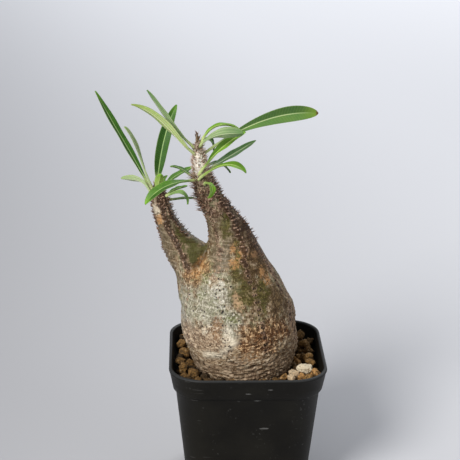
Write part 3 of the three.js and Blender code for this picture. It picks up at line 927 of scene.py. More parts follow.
def walk_rows(levels, rows, pitch, random):
    """Cushions as arrays of angle, height and darkness, row by row."""
    pitch_heights, pitches = np.array(pitch).T
    found = []
    for dark, knots in rows:
        row_heights, row_angles = np.array(knots, dtype=float).T
        height = row_heights[0] + random.uniform(0, 2)
        while height < row_heights[-1]:
            wander = random.normal(0, 0.5) / stem_at(levels, height)[0, 2]
            angle = math.radians(np.interp(height, row_heights, row_angles)) + wander
            found.append((angle, height, dark))
            height += np.interp(height, pitch_heights, pitches) * random.uniform(0.7, 1.2)
    return np.array(found).T


row_random = np.random.default_rng(ROW_SEED)
trunk_angles, trunk_heights, trunk_dark = walk_rows(TRUNK, TRUNK_ROWS, TRUNK_PITCH, row_random)
limb_angles, limb_heights, limb_dark = walk_rows(LIMB, LIMB_ROWS, LIMB_PITCH, row_random)
print("cushions on the trunk:", len(trunk_angles), "on the limb:", len(limb_angles))

# %% [markdown]
# ## Relief of the bark
#
# The mesh is fine enough to carry real relief: cushions, pits, the pleats of the lower base and
# the rough cork. Each is a field, a number of about 0 to 1 at each point of the skin. The same
# fields move the skin and, stored as marks on the mesh, colour it, so a pale cushion is always also
# high and a dark pit always deep. Each cushion is made of a few small dots side by side over a
# broader knob, with the dark track of the row round it.

# %% Sizes of the cushions and pits
PAIR_HALF = 0.85
BARE_BELOW = 133
FREE_PITS = 120
FREE_PIT_HEIGHTS = (78, 128)
DOT_REACH = 2.2
DOT_RADII = (0.38, 0.68)
DOT_TOPS = (0.1, 1.1)
TRACK_RADII = (1.2, 2.2)
KNOB_RADII = (0.7, 1.15)
PIT_RADII = (0.3, 0.6)
NAMED_PIT_RADII = (0.38, 0.6)
DARK_FROM = (124, 152)
MARK_SEED = 21
TRUNK_DOTS = (-1.3, -0.5, 0.4, 1.2)
LIMB_DOTS = (-1.2, 1.2)
LIMB_DOT_RISES = (0, 0.8)
NAMED_PITS = [
    (-17.4, -26.5, 116.3), (-14.0, -27.1, 117.4), (-15.2, -27.8, 113.8), (-13.2, -28.3, 113.4),
    (-31.3, -18.3, 111.5), (-25.1, -23.0, 112.5), (-25.1, -23.6, 110.3), (-29.6, -21.7, 104.7),
    (-23.5, -26.2, 104.7), (-21.3, -27.2, 106.0), (-10.1, -30.3, 107.0), (-7.4, -30.5, 107.7),
    (-14.6, -30.6, 99.2), (-28.5, -21.2, 94.6), (-24.6, -25.7, 98.4), (-25.0, -20.6, 80.1),
    (-21.9, -22.9, 78.6), (-34.7, -12.3, 114.3), (-33.6, -15.8, 107.8), (20.1, -8.5, 119.4),
]
print("pits with a place:", len(NAMED_PITS))

# %% Tools for the fields
def round_field(centres, radii, tops):
    """Soft dots of these radii round the centres, which rise to these tops."""
    field = np.zeros(len(skin_points))
    for centre, radius, top in zip(centres, radii, tops):
        for _, index, distance in skin_tree.find_range(centre, DOT_REACH * radius):
            field[index] = max(field[index], top * math.exp(-((distance / radius) ** 2)))
    return field


skin_tree = kdtree.KDTree(len(skin_points))
for index, point in enumerate(skin_points.tolist()):
    skin_tree.insert(point, index)
skin_tree.balance()


def on_skin(points):
    """The nearest points of the melted skin."""
    return [skin_tree.find(point)[0][:] for point in np.asarray(points).tolist()]


def band_field(points, path, radius):
    """A soft band along a path on the skin, 1 in its middle."""
    path = np.array(on_skin(path))
    nearest = np.full(len(points), np.inf)
    for first, second in zip(path[:-1], path[1:]):
        along = second - first
        share = np.clip((points - first) @ along / (along @ along), 0, 1)
        gap = np.linalg.norm(points - first - share[:, None] * along, axis=1)
        nearest = np.minimum(nearest, gap)
    return np.exp(-((nearest / radius) ** 2))


def beside(levels, angles, heights, shift):
    """Points of the skin a few millimetres round the stem from these cushions."""
    sizes = stem_at(levels, heights)
    return skin(levels, angles + shift / sizes[:, 2], heights)


# %% Cushions and pits
mark_random = np.random.default_rng(MARK_SEED)
row_points = np.concatenate([
    skin(TRUNK, trunk_angles, trunk_heights), skin(LIMB, limb_angles, limb_heights),
])
cushions = np.concatenate([
    *[beside(TRUNK, trunk_angles, trunk_heights, shift) for shift in TRUNK_DOTS],
    *[
        beside(LIMB, limb_angles, limb_heights + rise, shift)
        for shift in LIMB_DOTS for rise in LIMB_DOT_RISES
    ],
])
cushion_radii = mark_random.uniform(*DOT_RADII, len(cushions))
cushion_tops = mark_random.uniform(*DOT_TOPS, len(cushions))
cushion_field = round_field(on_skin(cushions), cushion_radii, cushion_tops)

row_dark = np.concatenate([trunk_dark, limb_dark]) * mark_random.uniform(0.4, 1.0, len(row_points))
row_dark *= 0.6 + 0.4 * ease(*DARK_FROM, row_points[:, 2])
row_places = on_skin(row_points)
track_field = round_field(row_places, mark_random.uniform(*TRACK_RADII, len(row_points)), row_dark)
knob_field = round_field(row_places, mark_random.uniform(*KNOB_RADII, len(row_points)), row_dark)

bare = trunk_heights < BARE_BELOW
free_angles = mark_random.uniform(-math.pi, math.pi, FREE_PITS)
free_heights = mark_random.uniform(*FREE_PIT_HEIGHTS, FREE_PITS)
pit_places = np.concatenate([
    beside(TRUNK, trunk_angles[bare], trunk_heights[bare], -PAIR_HALF),
    beside(TRUNK, trunk_angles[bare], trunk_heights[bare], PAIR_HALF),
    skin(TRUNK, free_angles, free_heights),
    NAMED_PITS,
])
pit_radii = mark_random.uniform(*PIT_RADII, len(pit_places))
pit_radii[-len(NAMED_PITS):] = mark_random.uniform(*NAMED_PIT_RADII, len(NAMED_PITS))
pit_field = round_field(on_skin(pit_places), pit_radii, np.ones(len(pit_places)))
print("dots of cushions:", len(cushions), "pits:", len(pit_places))

# %% [markdown]
# The lower base has pleats, as if it had slumped: fine folds, about 3 mm apart, that rise to the
# right and fade at the left. Higher up, only faint rings show where the bark has stretched. One
# thicker fold stands out at the front, where the smooth skin ends, and a groove with a crusty
# edge marks where the second stem grew out of the first.

# %% Places of the pleats, fold, groove and cork
PLEAT_TOP = 90
CORK_TOP = (98, 112)
RINGS_FROM = (120, 140)
PLEAT_PITCH = 3.0
PLEAT_SLOPE = 0.2
RING_PITCH = 1.9
UNDER_FOLD = (0, 0, 3.2)
FRONT_FOLD = [(-23.9, -23.6, 86.4), (-17.2, -28.3, 88.4), (-13.9, -30.7, 91.9), (-8.4, -31.5, 97.2)]
CROTCH_GROOVES = [
    [(-21.6, -3, 147.5), (-23.4, -5.6, 142.3), (-27.6, -8.2, 136.6), (-30, -9.6, 134.3)],
    [(-22, 3, 147.5), (-23.5, 7, 143), (-26.5, 10, 138), (-29, 11.5, 134)],
]
CROTCH_CRUST = [(-22.8, -6.6, 143.5), (-25, -7, 139.4), (-27.3, -8, 135.9), (-30.7, -10.5, 130.6)]
print("points of the fold:", len(FRONT_FOLD), "grooves:", len(CROTCH_GROOVES))

# %% Fields of the pleats, the folds and the cork
def noise_at(points, size, shift=0.0):
    scaled = (points / size + shift).tolist()
    return np.array([noise.noise(point) for point in scaled])


skin_angle, _ = around(TRUNK, skin_points)
heights = skin_points[:, 2]
slow = noise_at(skin_points, 11.0)
middling = noise_at(skin_points, 4.5, 7.0)
fine = noise_at(skin_points, 1.6, 13.0)
finest = noise_at(skin_points * (1, 1, 1.5), 1.0, 23.0)
rightness = np.cos(skin_angle)

pleat_top = PLEAT_TOP + 8 * rightness + 5 * slow
pleat_share = 1 - ease(pleat_top - 9, pleat_top + 4, heights)
pleat_share *= (0.35 + 0.65 * ease(-0.9, 0.1, rightness)) * np.clip(0.8 + 1.2 * middling, 0.2, 1)
phase = (heights - PLEAT_SLOPE * skin_points[:, 0] + 2.2 * slow + 1.1 * middling) / PLEAT_PITCH
pleats = np.abs(np.sin(math.pi * phase))
# This field only darkens the creases in the finish, as painted shade.
crease_shade_field = (1 - pleats) ** 2 * pleat_share

fold_field = band_field(skin_points, FRONT_FOLD, 2.3)
under_fold = band_field(skin_points, np.array(FRONT_FOLD) - UNDER_FOLD, 1.3)
crust_field = band_field(skin_points, CROTCH_CRUST, 1.6)
groove_field = np.maximum(*[band_field(skin_points, path, 1.5) for path in CROTCH_GROOVES])

cork_zone = (1 - ease(*CORK_TOP, heights + 8 * slow)) * ease(-0.35, 0.35, rightness + 0.5 * slow)
rings = np.sin(2 * math.pi * (heights + 0.9 * middling) / RING_PITCH) * ease(*RINGS_FROM, heights)
print("share of the skin in pleats:", round(float((pleat_share > 0.5).mean()), 2))

# %% [markdown]
# Each field is multiplied by its height in millimetres, and the sum moves every point of the skin
# along its normal. Below the soil the skin stays smooth, and near the tip it is drawn in a little,
# because the spines there stand close and need the room.

# %% Move the skin by its fields
CUSHION_HEIGHT = 0.45
KNOB_HEIGHT = 0.85
PIT_DEPTH = 0.45
PLEAT_HEIGHT = 0.6
FOLD_HEIGHT = 0.5
CRUST_HEIGHT = 0.45
GROOVE_DEPTH = 1.3
TIP_LOSS = 0.9
TIP_HEIGHTS = (194, 206)
BASE_TOP = (118, 140)
SOIL_TOP = (66, 72)


def normals_of(points, faces):
    mesh = new_mesh("normals", points, faces)
    normals = np.empty(len(points) * 3)
    mesh.vertex_normals.foreach_get("vector", normals)
    bpy.data.meshes.remove(mesh)
    return normals.reshape(-1, 3)


on_base = 1 - ease(*BASE_TOP, heights)
above_soil = ease(*SOIL_TOP, heights)
lift = (
    CUSHION_HEIGHT * cushion_field * (1 + 0.2 * fine) + KNOB_HEIGHT * knob_field
    - PIT_DEPTH * pit_field
    + PLEAT_HEIGHT * (pleats - 0.6) * pleat_share
    + FOLD_HEIGHT * (fold_field - under_fold)
    + CRUST_HEIGHT * crust_field * (1 + 2 * fine) - GROOVE_DEPTH * groove_field
    + (0.22 + 0.45 * cork_zone) * on_base * fine + 0.2 * on_base * finest
    + 0.06 * rings + 0.07 * fine + 0.12 * middling - TIP_LOSS * ease(*TIP_HEIGHTS, heights)
)
skin_normals = normals_of(skin_points, skin_faces)
bark_points = skin_points + skin_normals * (lift * above_soil)[:, None]
print("relief mm:", round(float(lift.min()), 2), "to", round(float(lift.max()), 2))

# %% [markdown]
# ## Bark
#
# The bark is a patchwork: silvery skin at the left, olive bands where the green flesh shows, brown
# cork low on the right and grey-brown stems. A single noise can't give this, because each patch
# sits in its own place. So the finish starts from a mottled ground and lays the large zones over
# it, as patches with ragged edges. A zone says more than its colour: how pale its flecks are, how
# much they cover, how plain the skin is, and how much it shines, which is a thin clear coat.
#
# Over all of it goes a net of pale fibres with dark hollows between them, upright on the upper base
# and level on the lower one. The small scars and the marks that the mesh carries come last: the
# dark track of each row with pale crumbs beside it, its cushions and the pits. Painted shade darkens
# the creases of the pleats and the groove at the crotch, and a painted highlight of cream lies
# along the front fold, where a few cream scars add to it.
# Heights in the finish are in metres, and where the first of a pair is the larger, its mask falls.

# %% Colours of the bark
BEIGE = (0.34, 0.245, 0.145)
UMBER = (0.18, 0.112, 0.056)
SILVER_GREEN = (0.20, 0.215, 0.115)
CREAM = (0.74, 0.66, 0.51)
HOLLOW = (0.042, 0.019, 0.008)
CUSHION_PALE = (0.48, 0.315, 0.22)
PIT_DARK = (0.014, 0.010, 0.007)
YOUNG_BARK_AND_HIGHLIGHT = (0.80, 0.74, 0.64)
WHITE_BARK = (0.84, 0.81, 0.74)
SCAR_ORANGE = (0.50, 0.26, 0.10)
SCAR_TAN = (0.30, 0.17, 0.08)
SCAR_PALE = (0.50, 0.33, 0.19)
SCAR_GREEN = (0.15, 0.17, 0.05)

# %% Zones of the bark, each patch by its middle and its radii in millimetres
ZONE_FIELDS = "name colour fleck cover plain shine patches"


def table(fields, rows):
    """Rows of values as records with named fields."""
    return [dict(zip(fields.split(), row)) for row in rows]


ZONES = table(ZONE_FIELDS, [
    ("low", (0.3, 0.21, 0.137), (0.68, 0.53, 0.37), 0.5, 0.35, 0.05, [
        ((-2, 0, 74), (40, 40, 14)),
    ]),
    ("silver", (0.325, 0.31, 0.215), (0.76, 0.71, 0.59), 0.45, 0.6, 1.0, [
        ((-21, -24, 115), (13, 16, 17)), ((-12, -30, 107), (9, 8, 11)),
        ((-33, -10, 106), (8, 16, 18)), ((-14, 26, 113), (17, 12, 16)), ((16, 24, 118), (11, 10, 12)),
    ]),
    ("blush", (0.36, 0.25, 0.16), (0.7, 0.55, 0.38), 0.5, 0.1, 0.3, [
        ((-23, -24, 96), (12, 14, 9)), ((-32, -14, 96), (9, 14, 8)), ((-18, 24, 98), (14, 12, 9)),
    ]),
    ("rose", (0.21, 0.128, 0.066), (0.46, 0.31, 0.19), 0.45, 0.2, 0.1, [
        ((26, -6, 106), (7, 12, 24)), ((15, -5, 136), (5, 8, 12)),
    ]),
    ("rust", (0.13, 0.054, 0.018), (0.74, 0.49, 0.26), 0.44, 0, 0.05, [
        ((3, -30, 102), (8, 8, 6)), ((13, -26, 104), (8, 8, 6)), ((9, -28, 95), (9, 7, 6)),
        ((-3, -31, 95), (5, 6, 4)), ((19, -21, 102), (6, 7, 7)), ((22, 16, 97), (10, 12, 9)),
        ((-20, 24, 96), (9, 8, 6)),
    ]),
    ("stem", (0.132, 0.105, 0.06), (0.37, 0.29, 0.2), 0.3, 0.85, 0.25, [
        ((-9, -2, 160), (17, 18, 22)), ((-16, -13, 142), (8, 9, 8)), ((-11, -13, 151), (7, 8, 8)),
        ((-24, -2, 182), (14, 16, 24)), ((-44, 5, 158), (19, 18, 26)),
    ]),
    # This zone darkens the right side of the stems, away from the window: partly their own red-brown colour,
    # partly painted shade.
    ("red_stem", (0.029, 0.013, 0.005), (0.18, 0.085, 0.04), 0.2, 0.75, 0.1, [
        ((4, -9, 143), (7, 10, 13)), ((0, -5, 158), (7, 12, 13)), ((-11, -3, 176), (8.5, 11, 14)),
    ]),
    ("dun", (0.062, 0.037, 0.013), (0.25, 0.16, 0.072), 0.3, 0.5, 0.1, [
        ((16, -15, 116), (8, 10, 11)), ((0, -18, 132), (5.5, 8, 12)), ((6, -22, 121), (6, 8, 10)),
        ((-4.5, -15, 142), (5.6, 9, 10)), ((8, -14, 136), (6, 8, 9)),
    ]),
    ("scaly", (0.085, 0.046, 0.026), (0.42, 0.28, 0.2), 0.5, 0.3, 0.1, [
        ((-20, -7, 175), (9, 10, 10)), ((-50, 4, 171), (4, 6, 5)),
    ]),
    ("olive", (0.058, 0.054, 0.007), (0.21, 0.165, 0.055), 0.4, 0.7, 0.15, [
        ((-7, -19, 134), (3.6, 8, 9)), ((-5.5, -15.5, 146), (2.4, 5, 7)),
        ((-4.5, -25, 122), (6, 8, 8)), ((7, -21, 120), (4.4, 9, 10)), ((-13, -12, 160), (2.6, 5, 9)),
        ((3, 22, 126), (4, 9, 14)), ((-27, 16, 124), (5, 8, 12)),
    ]),
    ("limb_olive", (0.064, 0.064, 0.012), (0.095, 0.09, 0.022), -0.4, 0.95, 0.35, [
        ((-31.5, -4, 143), (6.5, 7, 8)), ((-37, -2, 151), (4.5, 6, 8)), ((-32, 9, 146), (5, 5, 9)),
        ((-26.5, -5, 143), (5, 6, 5)), ((-30, -7.5, 139.5), (4.5, 5, 5)),
    ]),
    ("crotch", (0.24, 0.14, 0.06), (0.62, 0.4, 0.2), 0.6, 0.2, 0.2, [
        ((-24.5, -11, 135), (4.5, 6, 5.5)), ((-30, -10, 129), (6, 6, 5)),
    ]),
])
print("zones:", len(ZONES))

# %% Scars, each by its middle, its radii and its colour
SCARS = [
    # painted highlight: the cream patch on the front fold on the next line
    ((-19.5, -26.9, 87.9), (5, 4, 1.6), CREAM), ((-8.9, -15, 147.2), (2.0, 4, 2.2), SCAR_ORANGE),
    ((-3.3, -14.7, 145.3), (2.2, 3, 3.6), SCAR_ORANGE),
    ((-7.8, -17.6, 139.8), (2.8, 4, 2.4), SCAR_ORANGE), ((3.1, -12, 142.5), (2.0, 3, 1.6), SCAR_TAN),
    ((-7.3, -25.2, 121.8), (1.7, 3, 2.6), SCAR_PALE),
    ((-5.7, -27.4, 117.8), (2.4, 3, 2.4), SCAR_PALE), ((7.6, -13.8, 133), (1.5, 3, 2.6), SCAR_ORANGE),
    ((10.5, -14, 128.8), (1.7, 3, 3), SCAR_ORANGE), ((-18, -28.6, 105), (3.0, 4, 6.5), SCAR_TAN),
    ((-24.6, -25.5, 102), (1.7, 3, 1.8), CREAM), ((-50.2, 0.4, 159.8), (2.8, 4, 3.0), SCAR_ORANGE),
    ((-52.2, 2.1, 165.4), (2.4, 4, 3.2), CREAM), ((-26.5, -9, 136), (2.4, 4, 2.6), SCAR_ORANGE),
    ((-29.5, -10.5, 131.5), (2.4, 4, 2.8), SCAR_ORANGE), ((-35, -9.5, 130), (1.8, 4, 2.6), SCAR_TAN),
    ((-21, -16.5, 131), (2.6, 5, 1.5), SCAR_TAN), ((-3, -31, 106), (2.6, 4, 1.6), SCAR_TAN),
    ((1, -31, 88), (6, 5, 2.2), SCAR_TAN), ((12, 16, 133), (2, 3, 2), SCAR_ORANGE),
    ((-18, 24, 122), (2, 3, 3), SCAR_TAN), ((-33.6, -12, 118), (1.2, 2, 1.0), CREAM),
    ((-27.4, -18.6, 119.8), (2.0, 3, 1.6), SCAR_GREEN),
    ((-24.5, -15.6, 130), (2.2, 4, 2.6), SCAR_GREEN), ((-9, -29.5, 111), (3.4, 4, 2.2), SCAR_GREEN),
    # painted highlights: both cream patches on the next line, on the front fold
    ((-12, -30.5, 103), (2.0, 3, 3.5), CREAM), ((-11, -31, 98.4), (3.4, 3, 1.6), CREAM),
    ((-23.4, -5, 196), (2.0, 4, 7), SCAR_TAN), ((-28.5, -6.5, 194), (2.2, 3, 6), WHITE_BARK),
    # painted highlight: the cream patch on the front fold on the next line
    ((-19, -27, 87.6), (4.0, 3, 1.4), CREAM),
]


def zone_mask(where, ragged, patches):
    """1 inside any of the patches of a zone."""
    whole, *others = [patch(where, ragged, centre, radii) for centre, radii in patches]
    for mask in others:
        whole = whole.maths("MAXIMUM", whole, mask)
    return whole


print("scars:", len(SCARS))


# %% Ground of the bark: what the zones and scars make of it
GREENISH_ABOVE = (0.100, 0.112)
ZONE_STRENGTH = 0.92
SCAR_STRENGTH = 0.9


def bark_ground(finish, where, mottle, grain):
    """Colour, fleck colour, cover of the flecks, plainness and shine."""
    ragged = cloud(where, 3.4, 5.0) * 1.7 - 0.35
    ragged_scar = cloud(where, 1.3, 5.0) * 2.4 - 0.7
    ground = blend(step(mottle, 0.38, 0.62), UMBER, BEIGE)
    fleck = blend(mottle, CREAM, BEIGE)
    cover = 0.5 + mottle * 0.1
    plain = mottle * 0.4
    shine = mark(finish, "fold") * 0.5
    for zone in ZONES:
        mask = zone_mask(where, ragged, zone["patches"]) * ZONE_STRENGTH
        ground = blend(mask, ground, zone["colour"])
        fleck = blend(mask, fleck, zone["fleck"])
        cover = cover + (zone["cover"] - cover) * mask
        plain = plain + (zone["plain"] - plain) * mask
        shine = shine + (zone["shine"] - shine) * mask
    greenish = step(cloud(where, 4.5, 3.0), 0.48, 0.60) * step(cover, 0.35, 0.5)
    greenish = greenish * step(coordinate(where, "Z"), *GREENISH_ABOVE)
    ground = blend(greenish * 0.7, ground, SILVER_GREEN)
    for centre, radii, colour in SCARS:
        ground = blend(patch(where, ragged_scar, centre, radii) * SCAR_STRENGTH, ground, colour)
    ground = blend(mark(finish, "crust") * step(grain, 0.35, 0.6) * 0.8, ground, SCAR_ORANGE)
    return ground, fleck, cover, plain, shine


# %% Net of fibres, flecks and hollows
def bark_net(where, base, fleck, cover, plain, fibre, rings, grain):
    limit = 0.65 - cover * 0.16
    flecks = step(fibre - limit, 0.0, 0.06)
    hollows = step(fibre + (grain - 0.5) * 0.5, 0.47, 0.38) * (1 - plain * 0.9)
    base = blend(step(rings, 0.52, 0.64) * plain * 0.5, base, fleck)
    base = blend(step(rings, 0.46, 0.36) * plain * 0.6, base, HOLLOW)
    blotch = cloud(where, 2.8, 3.0)
    rough = 1 - plain
    base = blend(step(blotch, 0.47, 0.38) * rough * 0.6, base, HOLLOW)
    base = blend(step(blotch, 0.53, 0.62) * rough * 0.6, base, fleck)
    base = blend(hollows * 0.6, base, HOLLOW)
    base = blend(flecks * (0.85 - plain * 0.3), base, fleck)
    return blend(step(grain, 0.61, 0.68) * (0.7 - plain * 0.6), base, fleck)


# %% Marks that the mesh carries
TRACK_BELOW = (0.190, 0.180)
CRUMBS_BELOW = (0.158, 0.146)


def bark_marks(finish, base, height, mottle, grain):
    track = mark(finish, "track")
    crumbs = step(track, 0.05, 0.12) * step(grain, 0.46, 0.56) * step(height, *CRUMBS_BELOW)
    worn = 0.5 + step(grain, 0.40, 0.56) * 0.45
    base = blend(crumbs * 0.4, base, CUSHION_PALE)
    base = blend(step(track, 0.12, 0.42) * step(height, *TRACK_BELOW) * 0.88, base, HOLLOW)
    base = blend(step(mark(finish, "cushion"), 0.3, 0.7) * worn, base, CUSHION_PALE)
    # painted shade: the creases between the pleats are darkened
    base = blend(mark(finish, "crease") * 0.6, base, HOLLOW)
    # painted highlight: cream along the ridge of the front fold
    base = blend(mark(finish, "fold") * step(mottle, 0.30, 0.50) * 0.7, base, CREAM)
    # painted shade: the groove at the crotch is darkened
    base = blend(mark(finish, "groove") * 0.6, base, HOLLOW)
    return blend(step(mark(finish, "pit"), 0.2, 0.6), base, PIT_DARK)


# %% Bark finish
FIBRES_LIE_BELOW = (0.106, 0.094)
TIP_ABOVE = (0.187, 0.193)
TIP_BELOW = (0.208, 0.200)


def make_bark():
    finish = Finish("bark", Roughness=0.6, Specular_IOR_Level=0.12, Coat_Roughness=0.38)
    where = place(finish)
    height = coordinate(where, "Z")
    mottle = cloud(where, 2.4, 5.0)
    grain = cloud(where, 0.7, 2.0)
    upright = cloud(stretched(where, (1, 1, 0.4)), 0.85, 2.0)
    level_fibre = cloud(stretched(where, (0.45, 0.45, 1)), 1.1, 2.0)
    lower = step(height, *FIBRES_LIE_BELOW)
    fibre = upright + (level_fibre - upright) * lower
    rings = cloud(stretched(where, (0.10, 0.10, 1)), 0.85, 1.0)
    ground, fleck, cover, plain, shine = bark_ground(finish, where, mottle, grain)
    base = bark_net(where, ground, fleck, cover, plain, fibre, rings, grain)
    tip = step(height, *TIP_ABOVE) * step(height, *TIP_BELOW) * step(mottle, 0.44, 0.54)
    # the growing tip is pale young bark, made paler still as a painted highlight
    base = blend(tip * 0.8, base, YOUNG_BARK_AND_HIGHLIGHT)
    finish.feed("Base Color", bark_marks(finish, base, height, mottle, grain))
    finish.feed("Roughness", 0.44 + mottle * 0.25 + lower * 0.1 - plain * 0.12)
    finish.feed("Coat Weight", shine + tip * 0.5)
    skin_height = fibre * (1.2 - plain * 0.8) + grain * 0.4 + mottle * 0.6 + rings * plain * 0.5
    finish.feed("Normal", relief(skin_height, 0.9, 1.0))
    return finish


bark = make_bark()
print("nodes in the bark's finish:", len(bark.tree.nodes))

# %% [markdown]
# The remeshed skin has more triangles than the parts library takes in one piece, which is 200,000.
# A Decimate modifier joins the flattest ones and leaves the cushions and pits sharp. A coarser
# remesh would have blurred them everywhere alike.

# %% Bark piece
BARK_SHARE = 0.68
caudex = add_piece(
    "caudex_bark", bark_points * MM, skin_faces, bark, "caudex", ["caudex"],
    {
        "cushion": cushion_field, "track": track_field, "pit": pit_field, "crease": crease_shade_field,
        "fold": fold_field, "crust": crust_field, "groove": groove_field,
    },
)
thinner = caudex.modifiers.new("thinner", "DECIMATE")
thinner.ratio = BARK_SHARE
applied(caudex)
print("bark triangles:", triangles(caudex))

# %% [markdown]
# ## Spines
#
# The spines come in pairs, one each side of a cushion. Low on the stem they are blunt brown stubs,
# further up they lengthen, and round the growing tips they are thin, pale and pinkish. Hair strands
# would be quick to comb, but they would be lost if the plant were exported. So each spine is a tiny
# five-sided cone, bent a little upwards, and all of them are one mesh. Pairs stand at the cushions.
# Crowns are spines strewn over a part of a stem: thin ones round the tips, short wide ones that are
# the scales of fallen leaves, and stronger ones along the edges that show against the backdrop.

# %% One spine
SPINE_SIDES = 5
SPINE_STATIONS = np.array([-0.35, 0.25, 0.65, 1.0])
SPINE_TAPER = np.array([1.15, 0.85, 0.5, 0.06])
SPINE_BEND = 0.16
SPINE_SEED = 17
UP = np.array([0.0, 0.0, 1.0])


def unit(vector):
    return vector / np.linalg.norm(vector)


def spine_rings(foot, outward, length, radius):
    """Rings of a cone from just below the skin to its tip, all in millimetres."""
    side = unit(np.cross(outward, UP))
    above = np.cross(outward, side)
    turns = full_turn(SPINE_SIDES)
    rings = []
    for station, taper in zip(SPINE_STATIONS, SPINE_TAPER):
        bend = UP * SPINE_BEND * length * max(station, 0) ** 2
        circle = np.outer(np.cos(turns), side) + np.outer(np.sin(turns), above)
        rings.append(foot + outward * length * station + bend + radius * taper * circle)
    return rings


class SpineBed:
    """Gathers spines into one mesh, with how young each is."""

    def __init__(self):
        self.bodies = []
        self.young = []
        self.reach = []

    def add(self, foot, outward, length, radius, young):
        points, faces = loft(spine_rings(foot, outward, length, radius))
        self.bodies.append((points * MM, faces))
        self.young += [young] * len(points)
        self.reach += np.repeat(np.clip(SPINE_STATIONS, 0, 1), SPINE_SIDES).tolist()


# %% [markdown]
# Old spines are worn down or gone, and fresh ones are long. Combing them by hand would take an age
# and couldn't be changed. So three ramps over the height of each stem say how many pairs are kept,
# how far they have grown and how young they look, and a seeded random draw does the rest.

# %% Spines of both stems
TRUNK_SPINES = {"levels": TRUNK, "kept": (136, 152), "grown": (146, 178), "young": (172, 190)}
LIMB_SPINES = {"levels": LIMB, "kept": (126, 138), "grown": (132, 164), "young": (170, 180)}
CROWN_FIELDS = "levels low high turn rise number lengths radii young"
CROWNS = table(CROWN_FIELDS, [
    (TRUNK, 178, 210, (-180, 180), (0.4, 2.0), 130, (1.4, 3.2), (0.1, 0.17), (0, 1)),
    (TRUNK, 184, 211, (-180, 180), (0.4, 2.0), 80, (0.9, 1.9), (0.3, 0.5), (0, 1)),
    (TRUNK, 166, 187, (150, 250), (-0.5, 0.5), 95, (2.4, 5.4), (0.22, 0.34), (0.1, 0.5)),
    (TRUNK, 188, 203, (120, 250), (-0.1, 0.9), 40, (1.6, 3.0), (0.13, 0.2), (0.2, 0.8)),
    (TRUNK, 162, 186, (-178, -24), (-0.1, 0.7), 130, (1.1, 2.5), (0.22, 0.36), (0, 0.5)),
    (TRUNK, 148, 186, (-16, 8), (0.2, 0.7), 50, (1.5, 2.7), (0.2, 0.3), (0, 0.3)),
    (LIMB, 167, 178, (-180, 180), (0.4, 2.0), 40, (1.2, 2.4), (0.09, 0.16), (0, 1)),
    (LIMB, 166, 179, (-180, 180), (0.4, 2.0), 40, (0.8, 1.6), (0.3, 0.5), (0, 1)),
    (LIMB, 130, 168, (172, 190), (0, 0.4), 46, (1.0, 1.9), (0.26, 0.4), (0, 0.3)),
    (LIMB, 151, 171, (-60, 30), (0.2, 1.0), 18, (1.9, 3.0), (0.2, 0.28), (0, 0.45)),
])
print("crowns:", len(CROWNS))

# %% Growing the spines
def add_pairs(bed, plan, angles, cushion_heights, random):
    """Adds a pair of spines at each cushion that still has them."""
    levels = plan["levels"]
    for angle, height in zip(angles, cushion_heights):
        kept = ease(*plan["kept"], height)
        grown = ease(*plan["grown"], height)
        young = float(ease(*plan["young"], height))
        for side in (-1, 1):
            if random.uniform() > kept:
                continue
            length = (0.6 + 1.5 * grown) * random.uniform(0.6, 1.25)
            radius = (0.34 - 0.12 * young) * random.uniform(0.85, 1.15)
            turned = angle + side * PAIR_HALF * 0.75 / stem_at(levels, height)[0, 2]
            foot = skin(levels, np.array([turned]), np.array([height + random.normal(0, 0.15)]))[0]
            splay = turned + side * random.uniform(0.1, 0.5)
            rise = random.normal(0.15, 0.3) + 0.3 * young
            outward = unit(np.array([math.cos(splay), math.sin(splay), rise]))
            bed.add(foot, outward, length, radius, young * random.uniform(0.5, 1))


def add_crown(bed, plan, random):
    """Adds spines strewn between two heights and two angles of a stem."""
    for _ in range(plan["number"]):
        height = random.uniform(plan["low"], plan["high"])
        angle = math.radians(random.uniform(*plan["turn"]))
        drawn_in = -TIP_LOSS * ease(*TIP_HEIGHTS, height)
        foot = skin(plan["levels"], np.array([angle]), np.array([height]), drawn_in)[0]
        rise = np.interp(height, (plan["low"], plan["high"]), plan["rise"]) + random.normal(0, 0.3)
        outward = unit(np.array([math.cos(angle), math.sin(angle), rise]))
        length = random.uniform(*plan["lengths"])
        bed.add(foot, outward, length, random.uniform(*plan["radii"]), random.uniform(*plan["young"]))


spine_random = np.random.default_rng(SPINE_SEED)
spines = SpineBed()
add_pairs(spines, TRUNK_SPINES, trunk_angles, trunk_heights, spine_random)
add_pairs(spines, LIMB_SPINES, limb_angles, limb_heights, spine_random)
for crown in CROWNS:
    add_crown(spines, crown, spine_random)
print("spines:", len(spines.bodies))

# %% [markdown]
# Old spines are dark brown horn with a dry, paler tip. Young ones are pinkish and almost white at
# the tip. Each point carries how young its spine is and how far along it lies, so one finish serves
# for all of them.

# %% Spine finish
SPINE_DARK = (0.060, 0.034, 0.020)
SPINE_BROWN = (0.20, 0.10, 0.06)
SPINE_TIP = (0.43, 0.28, 0.20)
SPINE_PINK = (0.40, 0.23, 0.17)
SPINE_PALE = (0.66, 0.57, 0.49)


def make_spine_finish():
    finish = Finish("spine_horn", Roughness=0.5)
    where = place(finish)
    young = mark(finish, "young")
    reach = mark(finish, "reach")
    mottle = cloud(where, 1.7, 2.0)
    old = blend(step(mottle, 0.4, 0.65), SPINE_DARK, SPINE_BROWN)
    old = blend(step(reach, 0.5, 1.0) * 0.7, old, SPINE_TIP)
    fresh = blend(reach, SPINE_PINK, SPINE_PALE)
    finish.feed("Base Color", blend(step(young, 0.25, 0.6), old, fresh))
    finish.feed("Normal", relief(cloud(where, 0.3, 2.0), 0.1, 0.5))
    return finish


